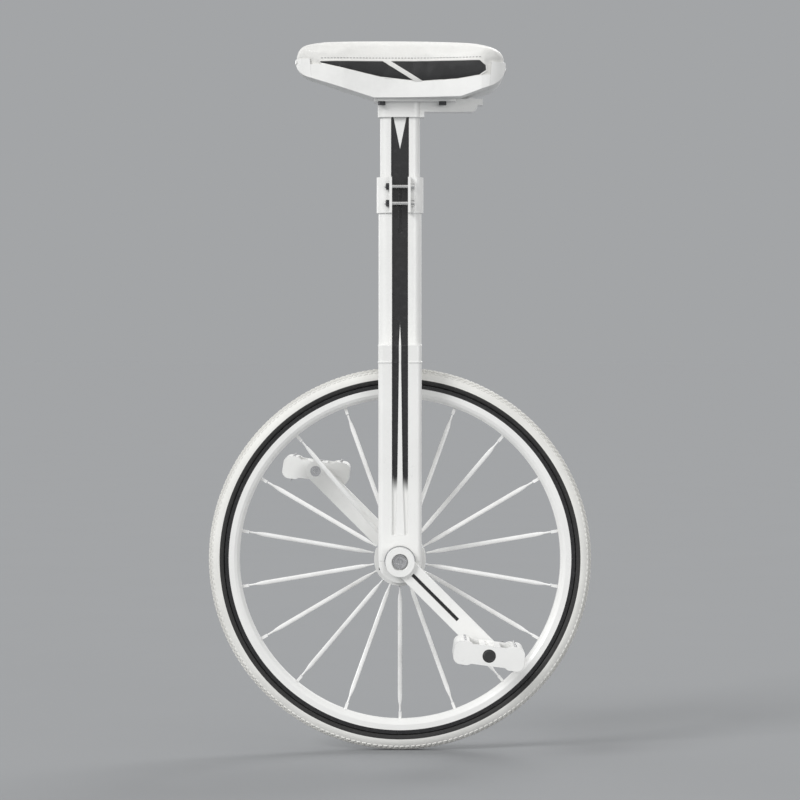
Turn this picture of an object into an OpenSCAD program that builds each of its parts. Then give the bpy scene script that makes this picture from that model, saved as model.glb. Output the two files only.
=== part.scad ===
// Unicycle with a 20 inch wheel, a fluted frame and a saddle that slides in the neck.
// Millimetres, +Z up. The origin is the tyre's contact point on the ground. The saddle's
// nose points along -X, the axle lies along Y and the rider's left is -Y.

/* [Wheel] */
// Outer radius of the tyre
wheel_r = 252.5; // [250:0.5:256]
// Width of the tyre
tyre_w = 28; // [27:0.5:29]
// Outer width of the rim
rim_w = 24; // [23:0.5:25]
// Number of spokes on both flanges together
spoke_count = 18; // [12:2:20]
// Width of a bladed spoke, seen from the side
blade_w = 5.6; // [4:0.2:6]
// Thickness of a bladed spoke
blade_t = 1.8; // [1.6:0.1:2.2]

/* [Hub] */
// Radius of the spoke flanges
flange_r = 34; // [33:0.5:36]
// Distance from the wheel's middle to a flange's middle
flange_z = 27; // [26:0.5:28]
// Radius of the axle
axle_r = 8.5; // [8.4:0.1:8.5]
// Distance from the wheel's middle to a bearing's middle
bearing_z = 50; // [49:0.5:52]

/* [Cranks and pedals] */
// Length of a crank between its two axes
crank_l = 160; // [125:5:170]
// Angle of the left crank below the horizontal
crank_angle = 45; // [0:5:90]
// Width of a crank arm
crank_w = 27; // [25:1:29]
// Length of a pedal from front to back
pedal_l = 90; // [86:1:100]
// Height of a pedal's front and rear bars
pedal_h = 30; // [28:1:32]
// Width of a pedal along its spindle
pedal_w = 88; // [84:1:100]
// Tilt of both pedals at rest
pedal_tilt = 7.5; // [-15:0.5:15]

/* [Frame] */
// Width of the legs and neck from front to back
column_w = 56.7; // [56:0.1:58]
// Thickness of a leg across the wheel
leg_t = 17; // [16:0.5:18]
// Thickness of the neck across the wheel
neck_t = 33.7; // [33:0.1:36]
// Wall thickness of the tubes
wall = 2.05; // [1.8:0.05:2.2]
// Width of the flutes down the legs and the neck
flute_w = 21; // [18:0.5:22]
// Depth of the flutes
flute_d = 3; // [2:0.5:3]
// Height of the neck's top above the ground
neck_top = 745; // [720:5:760]

/* [Saddle] */
// Height of the saddle's flat underside above the ground
seat_z = 858; // [850:1:900]
// Half the width of the saddle's rear
seat_half_w = 76; // [70:1:80]
// Thickness of the saddle's cover, panels and base
skin = 3; // [2.5:0.5:3.5]

/* [Hidden] */

$fn = 96;
WHEEL_FN = 180;
SMALL_FN = 32;
FIT = 0.1; // running clearance on each side
PAST = 1; // how far a cut runs past a face

// Rim and tyre, as radii about the axle
rim_r = wheel_r - 21;
bead_r = rim_r - 6;
well_r = bead_r - 1.9;
rim_in_r = rim_r - 19.8;
bead_half = 9.8;
tyre_ring_r = wheel_r - tyre_w / 2;
tyre_wall = 3.2;
tube_ring_r = tyre_ring_r;
tube_r = tyre_w / 2 - tyre_wall - 0.5;
tape_t = 0.7;
valve_r = 3;
valve_angle = -90 + 2.5 * 360 / spoke_count;

// Spokes run from a groove in the flange to the rim's inner wall
head_r = flange_r - 6.8;
spoke_r = 1.3;
spoke_end_r = rim_in_r + 2.1;
spoke_tilt = atan2(flange_z, spoke_end_r - head_r);
spoke_l = norm([spoke_end_r - head_r, flange_z]);
flange_t = 9;

// Bearing with a 17 mm bore, 40 mm outside and 12 mm wide
race_r = 20;
race_half_w = 6;
ball_r = 3.37;
ball_ring_r = 14.25;
ball_count = 8;
inner_race_r = 12.2;
outer_race_in_r = 16.3;
spacer_r = 12;
hub_end = 34;

// Crank, measured along the axle from the wheel's middle
square_w = 12.7;
axle_end = 72;
shoulder_z = 58.5;
boss_r = 19;
boss_in = 62;
boss_floor = 74;
boss_out = 86;
thread_z = 80;
puller_r = 11;
arm_in = 66;
arm_out = 80;
groove_w = 4.4;
crank_bolt_r = 4;
spindle_thread_r = 7.1;
spindle_flange_z = 86;
pedal_in = 89;
pedal_out = pedal_in + pedal_w;
journal_r = 6;
journal_end = 106;
tip_r = 4.5;
tip_end = pedal_out - 16;
pedal_core_r = 8.5;
bar_l = 26;
waist_h = 25;

// Frame heights
crown_z = 2 * wheel_r + 7;
crown_h = 22;
neck_z = crown_z + crown_h;
leg_solid_z = wheel_r + 48;
cap_bolt_x = 24.2;
clamp_mid_z = neck_top - 13.5;
clamp_h = 47;
clamp_t = 2.5;
clamp_bolt_gap = 22;
clamp_bolt_r = 2.5;
ear_t = 3.5;
ear_y = neck_t / 2 + 7;
slit_w = 3;
slit_l = 60;
crown_hole_r = 3.2;
crown_pocket_y = 24;

// Seatpost and saddle, with heights above the saddle's underside where they say rise
post_w = column_w - 2 * wall - 2 * FIT;
post_t = neck_t - 2 * wall - 2 * FIT;
rib_w = flute_w + 2.2;
post_z = neck_top - 105;
post_top = seat_z - 8;
plate_t = 4;
socket_h = 20;
nose_x = -113;
nose_rise = 51.5;
nose_round = 25;
tail_x = 108;
tail_rise = 41;
tail_round = 30;
nose_plan_x = -104;
plan_round = 34;
bolt_xs = [-24, 56];
bolt_y = 23;
panel_front = -106;
// Seam between the base and what is above it, as points of x and rise
seam = [[-160, 44], [-100, 44], [-25, 26], [25, 20], [75, 22], [113, 27], [160, 27]];
panel_top = [[-106, 49.2], [113, 47]];

module at_axle() translate([0, 0, wheel_r]) rotate([90, 0, 0]) children();
module on_side(side) mirror([0, side < 0 ? 1 : 0, 0]) children();
module at_side(side) mirror([0, 0, side < 0 ? 1 : 0]) children();

module rod(r, from, to) translate([0, 0, from]) cylinder(r = r, h = to - from);
module ring(r_out, r_in, from, to) difference() {
    rod(r_out, from, to);
    rod(r_in, from - PAST, to + PAST);
}
module rounded_rect(w, h, r) {
    square([w - 2 * r, h], center = true);
    square([w, h - 2 * r], center = true);
    for (x = [-1, 1], y = [-1, 1])
        translate([x * (w / 2 - r), y * (h / 2 - r)]) circle(r = r);
}
module both_flutes(w, t, flute) for (s = [-1, 1])
    translate([0, s * t / 2]) square([flute, 2 * flute_d], center = true);

// Wheel, drawn about the axle with +Z to the rider's left

function spoke_angle(k) = -90 + k * 360 / spoke_count;

// Runs children out along each spoke of one flange, from the spoke's head
module along_spokes(side)
    for (k = [(side > 0 ? 0 : 1) : 2 : spoke_count - 1])
        rotate([0, 0, spoke_angle(k)])
            translate([head_r, 0, side * flange_z])
                rotate([0, side * spoke_tilt, 0]) children();

module along(r, from, to, sides = SMALL_FN)
    rotate([0, 90, 0]) translate([0, 0, from]) cylinder(r = r, h = to - from, $fn = sides);

module spoke() {
    along(spoke_r, -1, spoke_l);
    along(2.1, -2.9, -0.4);
    linear_extrude(blade_t, center = true) polygon([
        [14, -spoke_r], [30, -blade_w / 2], [spoke_l - 34, -blade_w / 2],
        [spoke_l - 20, -spoke_r], [spoke_l - 20, spoke_r],
        [spoke_l - 34, blade_w / 2], [30, blade_w / 2], [14, spoke_r]
    ]);
}

module spokes(side) color("gainsboro") at_axle() along_spokes(side) spoke();

module nipple() difference() {
    union() {
        translate([spoke_l - 11.5, -1.9, -1.9]) cube([9, 3.8, 3.8]);
        along(2, spoke_l - 2.6, spoke_l + 0.2);
        along(3.1, spoke_l + 0.1, spoke_l + 2.1);
    }
    along(spoke_r, spoke_l - 12.5, spoke_l + 3);
}

module spoke_nipples() color("silver") at_axle() for (side = [-1, 1])
    along_spokes(side) nipple();

module mirrored_profile(points) polygon(concat(
    points, [for (i = [len(points) - 1 : -1 : 0]) [points[i][0], -points[i][1]]]
));

module rim_profile() difference() {
    mirrored_profile([
        [rim_in_r, 6.5], [rim_in_r + 3.4, 10.2], [rim_in_r + 7, rim_w / 2],
        [rim_r - 0.8, rim_w / 2], [rim_r, rim_w / 2 - 0.8], [rim_r, bead_half],
        [bead_r, bead_half], [bead_r, 8.3], [well_r, 7.8]
    ]);
    mirrored_profile([
        [rim_in_r + 1.7, 5.8], [rim_in_r + 4.6, 8.9], [rim_in_r + 7.6, 10.2],
        [well_r - 2.2, 10.2], [well_r - 1.6, 9.6]
    ]);
}

module valve_hole() rotate([0, 0, valve_angle])
    along(valve_r + 0.1, rim_in_r - 10, well_r + 10);

module rim() color("white") at_axle() difference() {
    rotate_extrude($fn = WHEEL_FN) rim_profile();
    for (side = [-1, 1]) along_spokes(side) {
        along(2.1, spoke_l - 6, spoke_l + 0.6);
        along(4, spoke_l + 5, spoke_l + 14);
    }
    valve_hole();
}

module rim_tape() color("dimgray") at_axle() difference() {
    rotate_extrude($fn = WHEEL_FN)
        translate([well_r, -7.6]) square([tape_t, 15.2]);
    valve_hole();
}

module inner_tube() color("darkslategray") at_axle() rotate_extrude($fn = WHEEL_FN)
    translate([tube_ring_r, 0]) difference() {
        circle(r = tube_r);
        circle(r = tube_r - 1);
    }

module tyre_profile() difference() {
    union() {
        intersection() {
            translate([tyre_ring_r, 0]) circle(r = tyre_w / 2);
            translate([rim_r + 0.2, -tyre_w]) square([tyre_w, 2 * tyre_w]);
        }
        for (s = [0, 1]) mirror([0, s])
            translate([bead_r + 0.1, 7]) square([6.3, bead_half - 7.1]);
    }
    translate([tyre_ring_r + 0.3, 0]) circle(r = tyre_w / 2 - tyre_wall);
    for (z = [-6, -2, 2, 6])
        translate([tyre_ring_r + sqrt(pow(tyre_w / 2, 2) - z * z) - 1.1, z - 0.7])
            square([4, 1.4]);
}

module tyre() color("ivory") at_axle() rotate_extrude($fn = WHEEL_FN) tyre_profile();

module valve_stem() color("silver") at_axle() rotate([0, 0, valve_angle]) {
    along(2.2, rim_in_r - 35, rim_in_r - 24);
    along(valve_r, rim_in_r - 26, tube_ring_r - tube_r);
}

module valve_nut() color("silver") at_axle() rotate([0, 0, valve_angle]) difference() {
    along(5.5, rim_in_r - 3.1, rim_in_r - 0.1, 6);
    along(valve_r, rim_in_r - 4, rim_in_r + PAST);
}

module valve_cap() color("black") at_axle() rotate([0, 0, valve_angle]) difference() {
    along(3.6, rim_in_r - 38, rim_in_r - 26);
    along(2.3, rim_in_r - 36, rim_in_r - 25);
}

// Hub, axle and bearings

module hub_shell() color("whitesmoke") at_axle() difference() {
    union() {
        rod(15, -flange_z, flange_z);
        for (side = [-1, 1]) at_side(side) {
            rod(flange_r, flange_z - flange_t / 2, flange_z + flange_t / 2);
            rod(14, flange_z, hub_end);
        }
    }
    rod(axle_r, -hub_end - PAST, hub_end + PAST);
    for (side = [-1, 1]) {
        at_side(side) ring(head_r, 19, flange_z - 2.8, flange_z + flange_t);
        along_spokes(side) along(1.4, -1, 10);
    }
    translate([-2.5, 0, -15]) cube([5, axle_r + 2.5, 30]);
}

module hub_key() color("dimgray") at_axle()
    translate([-2.5, axle_r - 2.5, -15]) cube([5, 5, 30]);

module axle() color("slategray") at_axle() difference() {
    union() {
        rod(axle_r, -shoulder_z, shoulder_z);
        rotate([0, 0, -crank_angle])
            linear_extrude(2 * axle_end, center = true) intersection() {
                square(square_w, center = true);
                circle(r = axle_r - 0.05);
            }
    }
    for (side = [-1, 1]) at_side(side) rod(crank_bolt_r, axle_end - 24, axle_end + PAST);
    translate([-2.5, axle_r - 2.5, -15]) cube([5, 5, 30]);
}

module bearing_spacers() color("silver") at_axle() for (side = [-1, 1]) at_side(side)
    ring(spacer_r, axle_r, hub_end, bearing_z - race_half_w);

module raceway() translate([0, 0, bearing_z]) rotate_extrude()
    translate([ball_ring_r, 0]) circle(r = ball_r + 0.03, $fn = SMALL_FN);

module inner_race(side) color("silver") at_axle() at_side(side) difference() {
    ring(inner_race_r, axle_r, bearing_z - race_half_w, bearing_z + race_half_w);
    raceway();
}

module outer_race(side) color("silver") at_axle() at_side(side) difference() {
    ring(race_r, outer_race_in_r, bearing_z - race_half_w, bearing_z + race_half_w);
    raceway();
}

module bearing_balls() color("silver") at_axle() for (side = [-1, 1]) at_side(side)
    for (k = [0 : ball_count - 1]) rotate([0, 0, k * 360 / ball_count])
        translate([ball_ring_r, 0, bearing_z]) sphere(r = ball_r, $fn = SMALL_FN);

module bearing_seals() color("black") at_axle() for (side = [-1, 1]) at_side(side)
    for (z = [-race_half_w + 0.3, race_half_w - 1.1])
        ring(outer_race_in_r, inner_race_r + 0.3, bearing_z + z, bearing_z + z + 0.8);

// Cranks and pedals, drawn on the rider's left and mirrored to the right

module on_crank(side) at_axle() at_side(side)
    rotate([0, 0, side > 0 ? -crank_angle : 180 - crank_angle]) children();

module arm_outline(w) {
    translate([0, -w / 2]) square([crank_l, w]);
    translate([crank_l, 0]) circle(r = w / 2);
}

module crank(side) color("white") on_crank(side) difference() {
    union() {
        rod(boss_r, boss_in, boss_out);
        translate([0, 0, arm_in]) linear_extrude(arm_out - arm_in) arm_outline(crank_w);
    }
    translate([0, 0, boss_in - PAST]) linear_extrude(boss_floor) intersection() {
        square(square_w, center = true);
        circle(r = axle_r - 0.05);
    }
    rod(puller_r - 0.6, boss_floor, thread_z + PAST);
    rod(puller_r, thread_z, boss_out + PAST);
    translate([crank_l, 0, 0]) rod(spindle_thread_r, arm_in - PAST, arm_out + PAST);
    translate([boss_r + 4, -groove_w / 2, arm_out - 3]) cube([crank_l * 0.52, groove_w, 4]);
}

module crank_bolts() color("silver") for (side = [-1, 1]) on_crank(side) difference() {
    union() {
        rod(crank_bolt_r, axle_end - 18, boss_floor + 1);
        rod(9.5, boss_floor, boss_floor + 1.5);
        rod(7.5, boss_floor + 1, boss_floor + 5.5);
    }
    translate([0, 0, boss_floor + 1]) cylinder(r = 4.6, h = 6, $fn = 6);
}

module pedal_spindle(side) color("silver") on_crank(side) translate([crank_l, 0, 0])
    difference() {
        union() {
            rod(spindle_thread_r, arm_in, arm_out);
            rod(9, arm_out, spindle_flange_z);
            rod(journal_r, spindle_flange_z, journal_end);
            rod(tip_r, journal_end, tip_end);
            rod(3, tip_end, tip_end + 8);
        }
        for (s = [-1, 1]) translate([s * 11, 0, arm_out + 4]) cube([7, 20, 5], center = true);
        rod(3.5, arm_in - PAST, arm_in + 8, $fn = 6);
    }

module spindle_nuts() color("silver") for (side = [-1, 1]) on_crank(side)
    translate([crank_l, 0, tip_end + 2]) difference() {
        cylinder(r = 5.6, h = 5, $fn = 6);
        rod(3, -PAST, 6);
    }

// A pedal turns on its spindle, so it keeps its own tilt whatever the crank's angle
module at_pedal(side) at_axle() at_side(side)
    rotate([0, 0, side > 0 ? -crank_angle : 180 - crank_angle])
        translate([crank_l, 0, 0])
            rotate([0, 0, (side > 0 ? crank_angle : crank_angle - 180) - pedal_tilt])
                children();

module pedal_outline() {
    square([pedal_l - bar_l, waist_h], center = true);
    for (s = [-1, 1]) translate([s * (pedal_l - bar_l) / 2, 0])
        rounded_rect(bar_l, pedal_h, 9);
}

module pedal_body(side) color("white") at_pedal(side) difference() {
    translate([0, 0, pedal_in]) linear_extrude(pedal_w) pedal_outline();
    for (s = [-1, 1]) translate([s * 20, 0, (pedal_in + pedal_out) / 2])
        cube([13, 2 * pedal_h, pedal_w - 14], center = true);
    for (s = [-1, 1], t = [-1, 1])
        translate([0, s * (waist_h / 2 + 4), (pedal_in + pedal_out) / 2 + t * 20])
            cube([12, 12, 30], center = true);
    rod(pedal_core_r, pedal_in - PAST, pedal_out + PAST);
    pin_places() rod(1.5, -7, 1);
}

// Places children on the treads of both bars, above and below
module pin_places() for (x = [-1, 1], y = [-1, 1], z = [-1, 0, 1])
    translate([x * (pedal_l - bar_l) / 2, 0, (pedal_in + pedal_out) / 2 + z * 30])
        rotate([y > 0 ? -90 : 90, 0, 0]) translate([0, 0, pedal_h / 2]) children();

module pedal_pins(side) color("silver") at_pedal(side) pin_places() {
    rod(1.5, -7, 2.5, $fn = SMALL_FN);
}

module pedal_bushes(side) color("dimgray") at_pedal(side) {
    ring(pedal_core_r, journal_r + 0.05, pedal_in + 1, journal_end - 2);
    ring(pedal_core_r, tip_r + 0.05, tip_end - 12, tip_end - 1);
}

module pedal_cap(side) color("black") at_pedal(side) {
    rod(pedal_core_r, pedal_out - 4, pedal_out - 1);
    rod(7, pedal_out - 1, pedal_out + 1);
}

// Frame

module at_leg(side) on_side(side) translate([0, -bearing_z, 0]) children();

module leg_hollow() difference() {
    rounded_rect(column_w - 2 * wall, leg_t - 2 * wall, 5);
    translate([0, -leg_t / 2 + wall])
        square([flute_w + 2 * wall, 2 * flute_d], center = true);
}

// Spear-shaped rib in the flute, from the bearing up towards the crown
module leg_rib() translate([0, -leg_t / 2 + flute_d + 0.2, 0]) rotate([90, 0, 0])
    linear_extrude(flute_d - 0.4) polygon([
        [-6, leg_solid_z - 14], [6, leg_solid_z - 14], [3.6, leg_solid_z + 50],
        [1.4, crown_z], [-1.4, crown_z], [-3.6, leg_solid_z + 50]
    ]);

module bearing_bore(r) translate([0, 0, wheel_r]) rotate([90, 0, 0])
    cylinder(r = r, h = 2 * leg_t, center = true);

module leg(side) color("white") at_leg(side) {
    difference() {
        translate([0, 0, wheel_r]) linear_extrude(crown_z - wheel_r)
            rounded_rect(column_w, leg_t, 7);
        translate([-flute_w / 2, -leg_t / 2 - flute_d, leg_solid_z - 14])
            cube([flute_w, 2 * flute_d, crown_z]);
        translate([0, 0, leg_solid_z]) linear_extrude(crown_z) leg_hollow();
        bearing_bore(race_r);
        for (x = [-cap_bolt_x, cap_bolt_x]) translate([x, 0, 0])
            rod(2, wheel_r - PAST, wheel_r + 18, $fn = SMALL_FN);
    }
    leg_rib();
}

module bearing_cap(side) color("white") at_leg(side) difference() {
    intersection() {
        bearing_bore(column_w / 2);
        translate([0, 0, wheel_r - column_w]) linear_extrude(column_w)
            rounded_rect(column_w, leg_t, 7);
    }
    bearing_bore(race_r);
    for (x = [-cap_bolt_x, cap_bolt_x]) translate([x, 0, wheel_r]) {
        rod(2.1, -20, PAST, $fn = SMALL_FN);
        rod(3.6, -20, -8, $fn = SMALL_FN);
    }
}

module cap_bolts() color("dimgray") for (side = [-1, 1]) at_leg(side)
    for (x = [-cap_bolt_x, cap_bolt_x]) translate([x, 0, wheel_r]) difference() {
        union() {
            rod(2, -8, 16, $fn = SMALL_FN);
            rod(3.4, -12, -8, $fn = SMALL_FN);
        }
        rod(1.7, -13, -10, $fn = 6);
    }

module fork_crown() color("white") difference() {
    translate([0, 0, crown_z]) linear_extrude(crown_h)
        rounded_rect(column_w, 2 * bearing_z + leg_t, 7);
    for (s = [-1, 1]) translate([0, s * (bearing_z + leg_t / 2), crown_z])
        cube([flute_w, 2 * flute_d, 3 * crown_h], center = true);
    translate([0, 0, crown_z + crown_h / 2]) rotate([0, 90, 0])
        cylinder(r = crown_hole_r, h = 2 * column_w, center = true);
    for (s = [-1, 1]) translate([0, s * crown_pocket_y, crown_z]) {
        translate([0, 0, crown_h / 2]) rotate([0, 90, 0])
            cylinder(r = 6, h = 2 * column_w, center = true);
        linear_extrude(2 * (crown_h - 4), center = true)
            rounded_rect(column_w - 8, 26, 5);
    }
}

module neck_section() difference() {
    rounded_rect(column_w, neck_t, 12);
    both_flutes(column_w, neck_t, flute_w);
}

module neck_hollow() difference() {
    rounded_rect(column_w - 2 * wall, neck_t - 2 * wall, 12 - wall);
    both_flutes(column_w, neck_t - 2 * wall, rib_w);
}

module neck_tube() color("white") difference() {
    translate([0, 0, neck_z]) linear_extrude(neck_top - neck_z) difference() {
        neck_section();
        neck_hollow();
    }
    translate([-slit_w / 2, -neck_t, neck_top - slit_l]) cube([slit_w, neck_t, slit_l + PAST]);
    translate([0, 0, neck_top - slit_l]) rotate([90, 0, 0]) cylinder(r = 3, h = neck_t);
}

module seat_clamp() color("white") difference() {
    translate([0, 0, clamp_mid_z - clamp_h / 2]) linear_extrude(clamp_h) difference() {
        union() {
            rounded_rect(column_w + 2 * clamp_t, neck_t + 2 * clamp_t, 12 + clamp_t);
            for (s = [-1, 1])
                translate([s * (flute_w / 2 + ear_t / 2), -neck_t / 2 - 5.5])
                    square([ear_t, 13], center = true);
        }
        rounded_rect(column_w, neck_t, 12);
        translate([0, -neck_t]) square([flute_w, neck_t], center = true);
    }
    at_clamp_bolts() rod(clamp_bolt_r + FIT, -column_w, column_w);
}

module at_clamp_bolts() for (s = [-1, 1])
    translate([0, -ear_y, clamp_mid_z + s * clamp_bolt_gap / 2]) rotate([0, 90, 0]) children();

module clamp_bolts() color("gainsboro") at_clamp_bolts() difference() {
    union() {
        rod(clamp_bolt_r, -flute_w / 2 - ear_t - 6, flute_w / 2 + ear_t + 1);
        rod(4.2, flute_w / 2 + ear_t, flute_w / 2 + ear_t + 5);
    }
    rod(2.3, flute_w / 2 + ear_t + 2, flute_w / 2 + ear_t + 6, $fn = 6);
}

module clamp_nuts() color("dimgray") at_clamp_bolts() difference() {
    rod(4.4, -flute_w / 2 - ear_t - 4.5, -flute_w / 2 - ear_t, $fn = 6);
    rod(clamp_bolt_r, -column_w, 0);
}

// Seatpost and saddle

module post_section() difference() {
    rounded_rect(post_w, post_t, 12 - wall - FIT);
    both_flutes(post_w, post_t, rib_w + 2 * FIT);
}

module post_hollow() difference() {
    rounded_rect(post_w - 2 * wall, post_t - 2 * wall, 8);
    both_flutes(post_w, post_t - 2 * wall, rib_w + 2 * FIT + 2 * wall);
}

module seatpost() color("white") translate([0, 0, post_z])
    linear_extrude(post_top - post_z) difference() {
        post_section();
        post_hollow();
    }

module post_plug() color("black") {
    translate([0, 0, post_z]) linear_extrude(12) post_hollow();
    translate([0, 0, post_z - 3]) linear_extrude(3) post_section();
}

module at_bracket_bolts() for (x = bolt_xs, y = [-bolt_y, bolt_y])
    translate([x, y, seat_z]) children();

module seat_bracket() color("white") difference() {
    union() {
        translate([20, 0, seat_z - plate_t]) linear_extrude(plate_t) rounded_rect(108, 58, 9);
        translate([0, 0, seat_z - plate_t - socket_h]) linear_extrude(socket_h)
            rounded_rect(column_w + 2, neck_t + 2, 12);
        rear_rib();
    }
    translate([0, 0, seat_z - plate_t - socket_h - PAST]) linear_extrude(post_top - seat_z
        + plate_t + socket_h + PAST) rounded_rect(post_w, post_t, 12 - wall - FIT);
    at_bracket_bolts() rod(3.1, -plate_t - PAST, PAST, $fn = SMALL_FN);
}

// Stiffening rib under the rear of the saddle, rounded at its tail
module rear_rib() translate([0, 15, seat_z]) rotate([90, 0, 0]) linear_extrude(30) {
    translate([26, -17]) square([67, 17]);
    translate([93, -8]) circle(r = 9);
    translate([93, -8]) square([16, 8]);
    translate([26, -24]) square([6, 10]);
}

module side_outline(inset = 0) hull() {
    translate([nose_x, seat_z + nose_rise]) circle(r = nose_round - inset, $fn = 48);
    translate([tail_x, seat_z + tail_rise]) circle(r = tail_round - inset, $fn = 48);
    translate([-34 + inset, seat_z + inset]) square([114 - 2 * inset, 12]);
}

module plan_outline(inset = 0) difference() {
    hull() {
        translate([nose_plan_x, 0]) circle(r = plan_round - inset, $fn = 48);
        for (s = [-1, 1]) translate([-nose_plan_x, s * (seat_half_w - plan_round)])
            circle(r = plan_round - inset, $fn = 48);
    }
    for (s = [-1, 1]) translate([-40, s * 338]) circle(r = 300 + inset, $fn = 240);
}

// The whole saddle, or its inside with an inset
module seat_body(inset = 0) intersection() {
    rotate([90, 0, 0]) linear_extrude(4 * seat_half_w, center = true) side_outline(inset);
    translate([0, 0, seat_z - 20]) linear_extrude(120) plan_outline(inset);
}

module seat_skin() difference() {
    seat_body();
    seat_body(skin);
}

// A zone of the side view, from points of x and rise, through the whole width
module side_zone(points) rotate([90, 0, 0]) linear_extrude(4 * seat_half_w, center = true)
    translate([0, seat_z]) polygon(points);

module base_zone() side_zone(concat([[-160, -10]], seam, [[160, -10]]));
module panel_zone() side_zone(concat(
    panel_top, [[113, 27], [75, 22], [25, 20], [-25, 26], [-100, 44], [-106, 44]]
));
module nose_zone() side_zone([[-160, -20], [-112, -20], [-118, 52], [-160, 52]]);
module tail_zone() side_zone([[113, -20], [160, -20], [160, 44], [119, 44]]);

module seat_base() color("white") difference() {
    intersection() {
        seat_skin();
        base_zone();
    }
    nose_zone();
    tail_zone();
    at_bracket_bolts() rod(3.1, -PAST, skin + PAST, $fn = SMALL_FN);
}

module seat_cover() color("white") difference() {
    seat_skin();
    base_zone();
    panel_zone();
    nose_zone();
    tail_zone();
}

module side_panel(side) color("black") on_side(side) intersection() {
    seat_skin();
    panel_zone();
    translate([panel_front - PAST, -2 * seat_half_w, seat_z]) cube([300, 2 * seat_half_w, 80]);
}

module seat_foam() color("khaki") difference() {
    seat_body(skin);
    translate([-36, -32, seat_z]) cube([112, 64, 14]);
}

module front_bumper() color("white") intersection() {
    seat_skin();
    nose_zone();
}

module rear_bumper() color("white") intersection() {
    seat_skin();
    tail_zone();
}

// One diagonal welt across each side panel, standing 1.2 proud of it
module seat_piping() color("white") difference() {
    intersection() {
        seat_body(-1.2);
        side_zone([[-26, 47.5], [-16, 47.5], [30, 21.5], [20, 21.5]]);
    }
    seat_body();
}

module stiffener_plate() color("silver") difference() {
    translate([20, 0, seat_z + skin]) linear_extrude(3) rounded_rect(104, 56, 8);
    at_bracket_bolts() rod(3.1, 0, 3 * skin, $fn = SMALL_FN);
}

module bracket_bolts() color("dimgray") at_bracket_bolts() {
    rod(3, -plate_t - 1, skin + 9, $fn = SMALL_FN);
    rod(5, -plate_t - 5, -plate_t, $fn = 6);
}

module bracket_nuts() color("silver") at_bracket_bolts() difference() {
    rod(5, skin + 3, skin + 8, $fn = 6);
    rod(3, skin, skin + 9, $fn = SMALL_FN);
}

// Two screws square to the nose's curve and two square to the tail's
module bumper_screws() color("dimgray") {
    for (turn = [-20, 20])
        translate([nose_plan_x, 0, seat_z + nose_rise - 4]) rotate([0, 0, 180 + turn])
            along(2.4, plan_round, plan_round + 1.2);
    for (y = [-14, 14])
        translate([tail_x, y, seat_z + tail_rise]) rotate([0, 8, 0])
            along(2.4, tail_round, tail_round + 1.2);
}

leg(1);  // leg_left
leg(-1);  // leg_right
fork_crown();
neck_tube();
bearing_cap(1);  // bearing_cap_left
bearing_cap(-1);  // bearing_cap_right
cap_bolts();
seat_clamp();
clamp_bolts();
clamp_nuts();
outer_race(1);  // outer_race_left
outer_race(-1);  // outer_race_right
bearing_seals();
inner_race(1);  // inner_race_left
inner_race(-1);  // inner_race_right
bearing_balls();
bearing_spacers();
axle();
hub_key();
hub_shell();
spokes(1);  // spokes_left
spokes(-1);  // spokes_right
spoke_nipples();
rim();
rim_tape();
inner_tube();
tyre();
valve_stem();
valve_nut();
valve_cap();
crank(1);  // crank_left
crank(-1);  // crank_right
crank_bolts();
pedal_spindle(1);  // pedal_spindle_left
pedal_spindle(-1);  // pedal_spindle_right
spindle_nuts();
pedal_body(1);  // pedal_body_left
pedal_body(-1);  // pedal_body_right
pedal_bushes(1);  // pedal_bushes_left
pedal_bushes(-1);  // pedal_bushes_right
pedal_pins(1);  // pedal_pins_left
pedal_pins(-1);  // pedal_pins_right
pedal_cap(1);  // pedal_cap_left
pedal_cap(-1);  // pedal_cap_right
seatpost();
post_plug();
seat_bracket();
seat_base();
stiffener_plate();
bracket_bolts();
bracket_nuts();
seat_foam();
seat_cover();
side_panel(1);  // side_panel_left
side_panel(-1);  // side_panel_right
seat_piping();
front_bumper();
rear_bumper();
bumper_screws();
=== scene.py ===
from math import atan2, cos, hypot, pi, radians, sin, sqrt
import bmesh
import bpy
from bpy.props import FloatProperty, FloatVectorProperty, PointerProperty
from mathutils import Matrix, Vector
from mathutils.bvhtree import BVHTree


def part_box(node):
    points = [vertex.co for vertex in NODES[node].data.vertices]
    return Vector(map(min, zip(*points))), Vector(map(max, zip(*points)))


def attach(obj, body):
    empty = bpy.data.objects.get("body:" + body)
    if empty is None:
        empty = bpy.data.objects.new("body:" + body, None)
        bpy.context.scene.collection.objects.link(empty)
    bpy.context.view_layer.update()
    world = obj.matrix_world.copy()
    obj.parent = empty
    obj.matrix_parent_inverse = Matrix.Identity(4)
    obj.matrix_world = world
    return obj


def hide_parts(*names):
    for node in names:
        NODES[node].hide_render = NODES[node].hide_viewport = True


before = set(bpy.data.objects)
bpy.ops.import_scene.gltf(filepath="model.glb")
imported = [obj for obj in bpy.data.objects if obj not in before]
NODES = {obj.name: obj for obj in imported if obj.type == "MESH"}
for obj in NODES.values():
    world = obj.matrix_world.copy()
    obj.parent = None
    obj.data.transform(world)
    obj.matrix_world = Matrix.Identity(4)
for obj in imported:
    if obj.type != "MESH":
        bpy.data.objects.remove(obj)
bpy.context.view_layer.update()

bl_info = {
    "name": "Unicycle builder",
    "version": (1, 0, 0),
    "blender": (4, 5, 0),
    "location": "View3D > Sidebar > Unicycle",
    "description": "Models and finishes a white unicycle with a fluted frame",
    "category": "Add Mesh",
}

MM = 0.001


def middle(node):
    """The centre of a node's box."""
    low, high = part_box(node)
    return (low + high) / 2


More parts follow.
